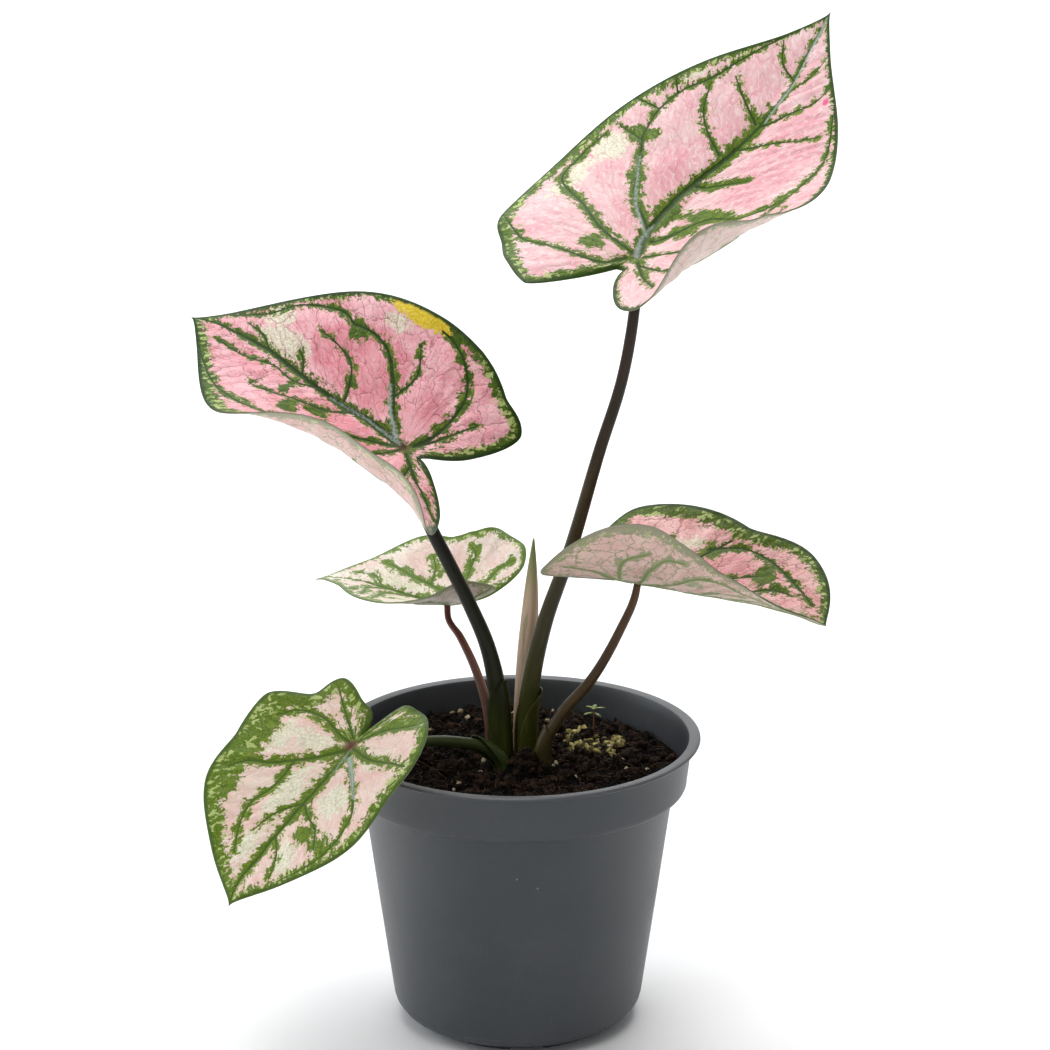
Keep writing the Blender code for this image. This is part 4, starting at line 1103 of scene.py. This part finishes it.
def share_of_reach(leaf, x, y):
    """How far out each flat point lies as a share of the edge's reach, and its angle from the tip."""
    wide = x / np.where(x < 0, *leaf["width"])
    long = np.where(y < 0, y / np.where(x < 0, *leaf["lobe"]), y)
    angles = np.arctan2(wide, long)
    return np.hypot(wide, long) / edge_reach(leaf, angles), angles


def near_way(way, flat):
    """Distance from flat points to a smooth way, and how far along it each one's nearest place lies."""
    path = np.hstack([np.array(way, float), np.zeros((len(way), 1))])
    line = curve_points(path, 8 * len(way))[0][:, :2]
    best = np.full(len(flat), 1e9)
    along = np.zeros(len(flat))
    for number, (a, b) in enumerate(zip(line, line[1:])):
        step = b - a
        t = np.clip(((flat - a) @ step) / (step @ step), 0, 1)
        distance = np.hypot(*(flat - a - t[:, None] * step).T)
        closer = distance < best
        best[closer] = distance[closer]
        along[closer] = (number + t[closer]) / (len(line) - 1)
    return best, along


def patch_field(patches, length, flat):
    """Millimetres inside the nearest of some oval patches, negative outside."""
    field = np.full(len(flat), -9.0)
    for x, y, wide, high in patches:
        inside = 1 - np.hypot((flat[:, 0] / length - x) / wide, (flat[:, 1] / length - y) / high)
        field = np.maximum(field, inside * min(wide, high) * length)
    return field


def spaced_from(points, others, room):
    """The flat points that keep some room from all the others."""
    tree = kdtree.KDTree(len(others))
    for number, (x, y) in enumerate(others):
        tree.insert((x, y, 0), number)
    tree.balance()
    return points[[tree.find((x, y, 0))[2] > room for x, y in points]]


def blade_net(leaf, veins):
    """Flat points and triangles that fill the edge, with rows of points along the veins."""
    length = leaf["length"]
    loop = edge_loop(leaf, GRID)
    rows = np.zeros((1, 2))
    for vein in veins:
        if vein[0] > 0:
            path = np.hstack([np.array(vein[4:], float) * length, np.zeros((len(vein) - 4, 1))])
            total = np.hypot(*np.diff(path[:, :2], axis=0).T).sum()
            row = curve_points(path, max(2, int(total / GRID)))[0][:, :2]
            row = row[share_of_reach(leaf, row[:, 0], row[:, 1])[0] < 0.99]
            rows = np.vstack([rows, spaced_from(row, np.vstack([rows, loop]), GRID * 0.6)])
    low, high = loop.min(0), loop.max(0)
    down = np.arange(low[1], high[1], GRID * ROW_HEIGHT)
    x, y = np.meshgrid(np.arange(low[0], high[0], GRID), down)
    x = x + (np.arange(len(down)) % 2)[:, None] * GRID / 2
    grid = np.stack([x.ravel(), y.ravel()], -1)
    grid = grid[share_of_reach(leaf, grid[:, 0], grid[:, 1])[0] < 0.999]
    grid = spaced_from(grid, np.vstack([rows, loop]), GRID * 0.55)
    points = np.vstack([loop, rows, grid])
    edges = [(i, (i + 1) % len(loop)) for i in range(len(loop))]
    net = geometry.delaunay_2d_cdt([Vector(p) for p in points.tolist()], edges, [], 1, 1e-5)
    return np.array([tuple(p) for p in net[0]]), np.array([tuple(face) for face in net[2]])


def blade_fields(number, leaf, flat):
    """The values that the blade's pattern and relief are made from, one a flat point."""
    length, marks = leaf["length"], PATCHES[number]
    low = np.full(len(flat), -9.0)
    fields = dict(vein=low.copy(), green=patch_field(marks["green"], length, flat), sheen=low.copy())
    ridge, nearest = np.zeros(len(flat)), np.full(len(flat), 20.0)
    for start, stop, band_start, band_stop, *way in VEINS[number]:
        distance, along = near_way(np.array(way) * length, flat)
        band = band_start + (band_stop - band_start) * along
        fields["green"] = np.maximum(fields["green"], band - distance)
        if start > 0:
            half = start + (stop - start) * along
            fields["vein"] = np.maximum(fields["vein"], half - distance)
            ridge = np.maximum(ridge, half * np.exp(-((distance / (1.1 * half + 0.3)) ** 2)))
            nearest = np.minimum(nearest, distance)
    # Painted reflection: the ways where a bluish-white reflection of the sky is laid on as colour.
    for start, stop, *way in marks["sheen"]:
        distance, along = near_way(np.array(way) * length, flat)
        fields["sheen"] = np.maximum(fields["sheen"], start + (stop - start) * along - distance)
    for key in ("cream", "yellow", "rose", "deep"):
        fields[key] = patch_field(marks.get(key, ()), length, flat)
    loop = edge_loop(leaf, 0.25)
    tree = kdtree.KDTree(len(loop))
    for i, (x, y) in enumerate(loop):
        tree.insert((x, y, 0), i)
    tree.balance()
    fields["edge"] = np.array([tree.find((x, y, 0))[2] for x, y in flat])
    around = np.degrees(share_of_reach(leaf, flat[:, 0], flat[:, 1])[1])
    left, right = (np.interp(abs(around), (0, 45, 90, 135, 180), widths) for widths in marks["margin"])
    side = np.clip(flat[:, 0] / (0.1 * length) * 0.5 + 0.5, 0, 1)
    fields["margin"] = (left * (1 - side) + right * side) * length - fields["edge"]
    return fields, ridge, nearest


def side_ways(flat, length):
    """Places along and across the small side veins, which leave the midrib slanting towards the tip."""
    wide = abs(flat[:, 0])
    across = flat[:, 1] - SIDE_VEIN_SLOPE * wide
    turn = np.arctan2(flat[:, 1], wide + 0.5) - math.atan(SIDE_VEIN_SLOPE)
    reach = np.hypot(flat[:, 0], flat[:, 1])
    along = np.where(across >= 0, wide * 1.25, reach)
    across = np.where(across >= 0, across, turn * SIDE_VEIN_SPREAD * length)
    return np.stack([np.where(flat[:, 0] < 0, -along - 7, along + 7), across], -1)


def blade_form(number, leaf):
    """Points, faces, values, flat places and side vein places of a finished blade."""
    flat, faces = blade_net(leaf, VEINS[number])
    fields, ridge, nearest = blade_fields(number, leaf, flat)
    slanted = side_ways(flat, leaf["length"])
    junction, angles = JUNCTIONS[number]
    turn = turn_of(angles)
    from_tip = np.maximum(leaf["length"] - flat[:, 1], 0.05)
    narrowed = flat[:, 0] * from_tip / (from_tip + TIP_WIDTH * np.exp(-from_tip / TIP_LENGTH))
    bent = bend(leaf, narrowed, flat[:, 1])
    share, around = share_of_reach(leaf, flat[:, 0], flat[:, 1])
    size, count, phase = leaf["wave"]
    bent[:, 2] += size * np.sin(count * around + phase) * np.sin(around / 2) ** 2 * np.minimum(share, 1) ** 3
    sheet = bent @ turn.T + np.array(junction)
    corners = sheet[faces]
    crossed = np.cross(corners[:, 1] - corners[:, 0], corners[:, 2] - corners[:, 0])
    normals = np.zeros_like(sheet)
    for k in range(3):
        np.add.at(normals, faces[:, k], crossed)
    normals /= np.linalg.norm(normals, axis=1)[:, None]
    places = [Vector((x * RIPPLE_SCALE, y * RIPPLE_SCALE, float(number))) for x, y in flat]
    ripple = np.array([noise.noise(place) for place in places])
    inner = np.clip(fields["edge"] / 4, 0, 1)
    folds = FOLD_RELIEF * np.cos(slanted[:, 1] * FOLD_PITCH + 3.0 * ripple) * np.clip(nearest / 3, 0, 1)
    folds = folds * np.clip(np.hypot(*flat.T) / 20 - 0.2, 0, 1)
    puff = (PUFF * (1 - np.exp(-nearest / PUFF_REACH)) - PUFF / 2 + RIPPLE * ripple + folds) * inner
    thick = BLADE_THICKNESS * (0.6 + 0.4 * np.clip(fields["edge"] / 1.6, 0, 1))
    raised = VEIN_RAISE * ridge * np.clip(fields["edge"] / 2, 0, 1)
    upper = sheet + normals * (puff + thick / 2 - VEIN_SINK * ridge)[:, None]
    lower = sheet + normals * (puff - thick / 2 - raised)[:, None]
    ends = np.sort(np.vstack([faces[:, [0, 1]], faces[:, [1, 2]], faces[:, [2, 0]]]), axis=1)
    pairs, uses = np.unique(ends, axis=0, return_counts=True)
    border = {tuple(pair) for pair in pairs[uses == 1].tolist()}
    sides = [side for face in faces.tolist() for side in zip(face, face[1:] + face[:1])]
    following = {a: b for a, b in sides if (min(a, b), max(a, b)) in border}
    order = [next(iter(following))]
    while len(order) < len(following):
        order.append(following[order[-1]])
    order = np.array(order)
    way = np.roll(sheet[order], -1, axis=0) - np.roll(sheet[order], 1, axis=0)
    out = np.cross(way, normals[order])
    out /= np.linalg.norm(out, axis=1)[:, None]
    middle = (upper[order] + lower[order]) / 2 + out * EDGE_ROUNDING
    points = len(flat)
    solid = faces.tolist() + (faces[:, ::-1] + points).tolist()
    for i in range(len(order)):
        j = (i + 1) % len(order)
        a, b, c, d = order[i], order[j], 2 * points + i, 2 * points + j
        solid.append((b, a, c, d))
        solid.append((d, c, a + points, b + points))
    values = {key: np.concatenate([field, field, field[order]]) for key, field in fields.items()}
    values["under"] = np.concatenate([np.zeros(points), np.ones(points), np.full(len(order), 0.5)])
    maps = [np.vstack([places, places, places[order]]) for places in (flat, slanted)]
    return np.vstack([upper, lower, middle]), solid, values, maps


# The pattern of a blade: pink fields with a fine net, green bands with jagged sides that stop at
# the net's cells, cream patches, a speckled margin, a painted bluish-white reflection along some veins,
# and a paler underside that is also brightened as painted light coming through the blade.
FIELDS = ("vein", "green", "sheen", "cream", "yellow", "rose", "deep", "edge", "margin", "under")
HUB_PLACE = (FLAT_MAP / 2, FLAT_MAP / 2, 0)
BLOOM = (0.84, 0.74, 0.70)
CREAM = ((0.52, 0.56, 0.32), (0.80, 0.80, 0.66))
ROSE = (0.75, 0.12, 0.26)
YELLOW = ((0.62, 0.44, 0.015), (0.74, 0.60, 0.06))
YOUNG_GREEN = (0.20, 0.29, 0.022)
MARGIN_SPECK = (0.46, 0.54, 0.20)
# Painted reflection of the sky: a bluish-white colour laid along some veins.
PAINTED_REFLECTION = (0.44, 0.52, 0.47)
HUB_BROWN = (0.13, 0.045, 0.035)
# The underside's own paler colour, raised as painted light coming through the blade.
VEIL = (0.80, 0.70, 0.56)
VEIL_NET = (0.27, 0.33, 0.13)
VEIL_VEIN = (0.21, 0.30, 0.09)

pattern_inputs = {"Place": ("Vector", None), "Slanted": ("Vector", None)}
pattern_inputs.update({key.capitalize(): ("Float", 0.0) for key in FIELDS})
for pattern_key in ("Pale", "Strong", "Leaf Green", "Dark Green", "Fringe", "Net Colour"):
    pattern_inputs[pattern_key] = ("Color", None)
for pattern_key, pattern_value in (("Net", 0.5), ("Jag", 1.5), ("Bloom", 0.5), ("Hub", 0.0)):
    pattern_inputs[pattern_key] = ("Float", pattern_value)
pattern_outputs = {"Colour": "Color", "Height": "Float", "Roughness": "Float"}
leaf_pattern, pattern_in, pattern_out = new_group("leaf_pattern", pattern_inputs, pattern_outputs)


def fill_leaf_pattern(tree, given, out):
    """Builds the nodes that turn a blade's fields into its colour, relief and roughness."""
    combine, vectors, noise_at = (partial(tool, tree) for tool in (math_of, vector_of, noise_of))
    step, blend = partial(step_of, tree), partial(blend_of, tree)
    times, times_add = partial(combine, "MULTIPLY"), partial(combine, "MULTIPLY_ADD")
    add = partial(combine, "ADD")
    place = given["Place"]
    rough = noise_at(place, 1.1, 5.0, 0.65)
    broad = noise_at(place, 0.085, 4.0, 0.6)
    wander = noise_at(place, 0.26, 3.0, 0.6)

    drift = vectors("SUBTRACT", noise_at(place, 0.40, 3.0, output=1), (0.5, 0.5, 0.5))
    slanted = vectors("MULTIPLY", given["Slanted"], (0.60, 1.0, 1.0))
    drifted = vectors("ADD", slanted, vectors("MULTIPLY", drift, (3.4, 3.4, 3.4)))
    cells = {"Vector": drifted, "Scale": 1.05}
    cells = make(tree, "ShaderNodeTexVoronoi", cells, voronoi_dimensions="2D").outputs["Color"]
    cell = make(tree, "ShaderNodeSeparateColor", {0: cells}).outputs
    edge_kind = dict(voronoi_dimensions="2D", feature="DISTANCE_TO_EDGE")
    small, medium, wide = (
        make(tree, "ShaderNodeTexVoronoi", {"Vector": drifted, "Scale": scale}, **edge_kind).outputs[0]
        for scale in (1.05, 0.36, 0.15)
    )
    jagged = add(combine("SUBTRACT", cell[0], 0.5), times_add(rough, 3.0, -1.5))
    jagged = times(jagged, given["Jag"])
    swing = times_add(wander, 7.0, -3.15)

    # The pink fields, from pale to strong, with bloom, cream patches and rose spots.
    strength = add(step(broad, 0.35, 0.72), step(add(given["Deep"], jagged), -2.0, 3.0, 0.0, 0.7))
    colour = blend(combine("MINIMUM", strength, 1.0), given["Pale"], given["Strong"])
    colour = blend(times(step(cell[1], 0.35, 1.0), given["Bloom"]), colour, BLOOM)
    cream = step(times_add(jagged, 1.6, given["Cream"]), -0.8, 0.9)
    colour = blend(times(cream, 0.85), colour, blend(step(rough, 0.35, 0.60), *CREAM))
    colour = blend(step(given["Rose"], -0.5, 0.4), colour, ROSE)

    # The net of fine veins, which fades towards the junction.
    reach = vectors("DISTANCE", place, HUB_PLACE)
    net = times(step(reach, 2.0, 18.0, 0.15, 1.0), given["Net"])
    small_line = times(step(small, 0.13, 0.02), net)
    medium_line = times(step(medium, 0.065, 0.01), net)
    wide_line = times(step(wide, 0.036, 0.006), net)
    for line in (times(small_line, 0.35), times(medium_line, 0.6), wide_line):
        colour = blend(line, colour, given["Net Colour"])

    # The green bands with their fringe, then the margin and its specks, then yellow over both.
    band = add(add(given["Green"], jagged), swing)
    green = blend(step(rough, 0.30, 0.66), given["Dark Green"], given["Leaf Green"])
    green = blend(step(cell[2], 0.62, 0.90, 0.0, 0.45), green, YOUNG_GREEN)
    halo = times(step(band, -1.2, -0.1), step(wander, 0.42, 0.58, 0.1, 0.6))
    colour = blend(halo, colour, given["Fringe"])
    colour = blend(step(band, -0.30, 0.05), colour, green)
    border = add(times_add(jagged, 1.4, given["Margin"]), times(swing, 0.5))
    specks = step(times_add(rough, 0.8, cell[2]), 1.12, 1.24, 0.0, 0.8)
    colour = blend(step(border, -0.5, 0.3), colour, blend(specks, green, MARGIN_SPECK))
    yellow = step(times_add(jagged, 0.8, given["Yellow"]), -0.3, 0.4)
    colour = blend(yellow, colour, blend(step(rough, 0.4, 0.6), *YELLOW))

    # The main veins, the painted bluish-white reflection of the sky along them, the dark rim and the brown
    # hub.
    colour = blend(step(given["Vein"], -0.24, 0.05), colour, given["Dark Green"])
    # Painted reflection: bluish-white colour along the veins, where the gloss would catch the sky.
    reflection_mask = times_add(rough, 2.6, given["Sheen"])
    colour = blend(step(reflection_mask, 0.7, 2.2, 0.0, 0.8), colour, PAINTED_REFLECTION)
    rim = times_add(jagged, -0.35, given["Edge"])
    colour = blend(step(rim, 1.7, 0.75), colour, given["Dark Green"])
    hub = step(times_add(jagged, 0.5, reach), 3.4, 1.2)
    colour = blend(times(hub, given["Hub"]), colour, HUB_BROWN)

    # The underside: the same pattern under a pale veil, with its net and veins in green. The veil is the
    # underside's own paler colour and also painted light, brightened to stand for light coming through the
    # thin blade.
    veiled = blend(0.42, colour, VEIL)
    veiled = blend(combine("MAXIMUM", wide_line, times(medium_line, 0.7)), veiled, VEIL_NET)
    veiled = blend(step(given["Vein"], -0.7, 0.1, 0.0, 0.85), veiled, VEIL_VEIN)
    tree.links.new(blend(given["Under"], colour, veiled), out["Colour"])
    relief = times_add(step(small, 0.0, 0.25), 0.35, times(rough, 0.4))
    relief = times_add(step(medium, 0.0, 0.2), 0.7, relief)
    relief = times_add(step(wide, 0.0, 0.12), 1.0, relief)
    tree.links.new(relief, out["Height"])
    tree.links.new(step(rough, 0.3, 0.7, 0.32, 0.50), out["Roughness"])


fill_leaf_pattern(leaf_pattern, pattern_in.outputs, pattern_out.inputs)
LOOKS = {
    "1": dict(
        Pale=(.75, .50, .50), Strong=(.72, .35, .39), Leaf_Green=(.105, .185, .010),
        Dark_Green=(.026, .060, .005), Fringe=(.34, .36, .11), Net_Colour=(.50, .19, .23),
        Net=0.42, Jag=1.5, Bloom=0.45, Hub=0.15,
    ),
    "2": dict(
        Pale=(.88, .49, .53), Strong=(.74, .27, .32), Leaf_Green=(.080, .150, .007),
        Dark_Green=(.018, .046, .005), Fringe=(.30, .27, .10), Net_Colour=(.26, .065, .085),
        Net=0.62, Jag=1.4, Bloom=0.2, Hub=0.45,
    ),
    "3": dict(
        Pale=(.80, .74, .66), Strong=(.76, .55, .50), Leaf_Green=(.17, .26, .045),
        Dark_Green=(.080, .15, .018), Fringe=(.45, .50, .20), Net_Colour=(.45, .30, .20),
        Net=0.4, Jag=1.8, Bloom=0.4, Hub=0.5,
    ),
    "4": dict(
        Pale=(.88, .54, .52), Strong=(.76, .32, .34), Leaf_Green=(.100, .165, .010),
        Dark_Green=(.024, .054, .005), Fringe=(.34, .34, .12), Net_Colour=(.30, .12, .10),
        Net=0.7, Jag=1.6, Bloom=0.2, Hub=0.3,
    ),
    "5": dict(
        Pale=(.77, .61, .51), Strong=(.75, .46, .42), Leaf_Green=(.135, .215, .010),
        Dark_Green=(.052, .100, .006), Fringe=(.42, .44, .14), Net_Colour=(.50, .36, .26),
        Net=0.4, Jag=2.0, Bloom=0.4, Hub=0.9,
    ),
}


def blade_material(number):
    """A thin soft leaf skin that carries the pattern with one blade's own colours."""
    parts = new_material("blade_skin_" + number, gloss=0.16)
    tree = parts[1]
    pattern = make(tree, "ShaderNodeGroup", {}, node_tree=leaf_pattern)
    for key, name in (("Place", "flat"), ("Slanted", "side_veins")):
        place = vector_of(tree, "MULTIPLY", map_of(tree, name), (FLAT_MAP, FLAT_MAP, FLAT_MAP))
        tree.links.new(place, pattern.inputs[key])
    for key in FIELDS:
        tree.links.new(attribute_of(tree, key), pattern.inputs[key.capitalize()])
    for key, value in LOOKS[number].items():
        socket = pattern.inputs[key.replace("_", " ")]
        socket.default_value = (*value, 1) if isinstance(value, tuple) else value
    results = pattern.outputs
    return painted(parts, results["Colour"], results["Height"], 0.24, 0.0004, results["Roughness"])


for blade_number, blade_leaf in BLADES.items():
    blade_points, blade_faces, blade_values, blade_maps = blade_form(blade_number, blade_leaf)
    blade_skin = blade_material(blade_number)
    blade = mesh_object("leaf_blade_" + blade_number, blade_points, blade_faces, [blade_skin])
    for value_name, value_numbers in blade_values.items():
        add_values(blade, value_name, value_numbers)
    add_flat_map(blade, blade_maps[0], FLAT_MAP)
    add_flat_map(blade, blade_maps[1], FLAT_MAP, "side_veins")
    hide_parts("blade_" + blade_number)
    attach(blade, "root")


# Floor, light and camera: a pale paper sweep that curves up behind, a large soft window light from
# the left, a top light, one on the backdrop, and a sky that is weaker on the right. The camera
# stands where the photograph was taken from. Lengths are in metres here, but the floor lies
# FLOOR_DROP millimetres under the pot.

SWEEP_FRONT = -3.0
SWEEP_FOOT = 2.2
SWEEP_RADIUS = 0.8
SWEEP_STEPS = 12
SWEEP_TOP = 4.0
SWEEP_HALF_WIDTH = 5
FLOOR_DROP = 0.05
LIGHTS = (
    ("window", (-1.6, 0.30, 0.70), (0, 0, 0.15), 1.2, 10.5, (0.88, 0.94, 1.0)),
    ("top_light", (-0.10, -0.60, 1.6), (0, 0, 0.15), 0.9, 8.2, (1.0, 0.98, 0.95)),
    ("backdrop_light", (0.0, 1.2, 2.6), (0, 2.6, 0.6), 2.0, 95.0, (1.0, 1.0, 1.0)),
)
SKY_LEFT = 0.58
SKY_RIGHT = 0.30
CAMERA_PLACE = (0.00239, -1.0, 0.4612)
CAMERA_DIP = 0.284
CAMERA_LENS = 110.85

sweep_profile = [(SWEEP_FRONT, 0.0), (SWEEP_FOOT, 0.0)]
for sweep_step in range(1, SWEEP_STEPS + 1):
    turn = math.radians(90 * sweep_step / SWEEP_STEPS)
    sweep_y, sweep_z = SWEEP_RADIUS * math.sin(turn), SWEEP_RADIUS * math.cos(turn)
    sweep_profile.append((SWEEP_FOOT + sweep_y, SWEEP_RADIUS - sweep_z))
sweep_profile.append((SWEEP_FOOT + SWEEP_RADIUS, SWEEP_TOP))
sweep_points = [
    (x / MM, y / MM, z / MM - FLOOR_DROP)
    for y, z in sweep_profile for x in (-SWEEP_HALF_WIDTH, SWEEP_HALF_WIDTH)
]
sweep_faces = [(2 * i, 2 * i + 1, 2 * i + 3, 2 * i + 2) for i in range(len(sweep_profile) - 1)]
paper, paper_tree, paper_shader = new_material("pale_floor", roughness=0.9, gloss=0.1)
paper_noise = noise_of(paper_tree, make(paper_tree, "ShaderNodeTexCoord").outputs["Object"], 3.0)
paper_colour = blend_of(paper_tree, paper_noise, (0.88, 0.88, 0.88), (0.90, 0.90, 0.90))
paper_tree.links.new(paper_colour, paper_shader.inputs["Base Color"])
sweep = mesh_object("pale_sweep", sweep_points, sweep_faces, [paper])

world = bpy.data.worlds.new("soft_sky")
world.use_nodes = True
sky_place = make(world.node_tree, "ShaderNodeTexCoord").outputs["Generated"]
sky_side = make(world.node_tree, "ShaderNodeSeparateXYZ", {0: sky_place}).outputs["X"]
sky = world.node_tree.nodes["Background"].inputs
sky["Color"].default_value = (0.95, 0.97, 1.0, 1)
world.node_tree.links.new(step_of(world.node_tree, sky_side, -0.9, 0.8, SKY_LEFT, SKY_RIGHT), sky["Strength"])
bpy.context.scene.world = world
for light_name, light_place, light_aim, light_size, light_power, light_colour in LIGHTS:
    lamp_data = bpy.data.lights.new(light_name, "AREA")
    lamp_data.shape = "SQUARE"
    lamp_data.size = light_size
    lamp_data.energy = light_power
    lamp_data.color = light_colour
    lamp = bpy.data.objects.new(light_name, lamp_data)
    lamp.location = light_place
    lamp.rotation_euler = (Vector(light_aim) - Vector(light_place)).to_track_quat("-Z", "Y").to_euler()
    bpy.context.scene.collection.objects.link(lamp)

camera_data = bpy.data.cameras.new("camera")
camera_data.sensor_width = 36.0
camera_data.lens = CAMERA_LENS
camera_data.clip_start = 0.05
camera_data.clip_end = 20.0
camera = bpy.data.objects.new("camera", camera_data)
camera.location = CAMERA_PLACE
camera.rotation_euler = (math.pi / 2 - CAMERA_DIP, 0, 0)
bpy.context.scene.collection.objects.link(camera)
bpy.context.scene.camera = camera
bpy.context.scene.view_settings.view_transform = "Standard"
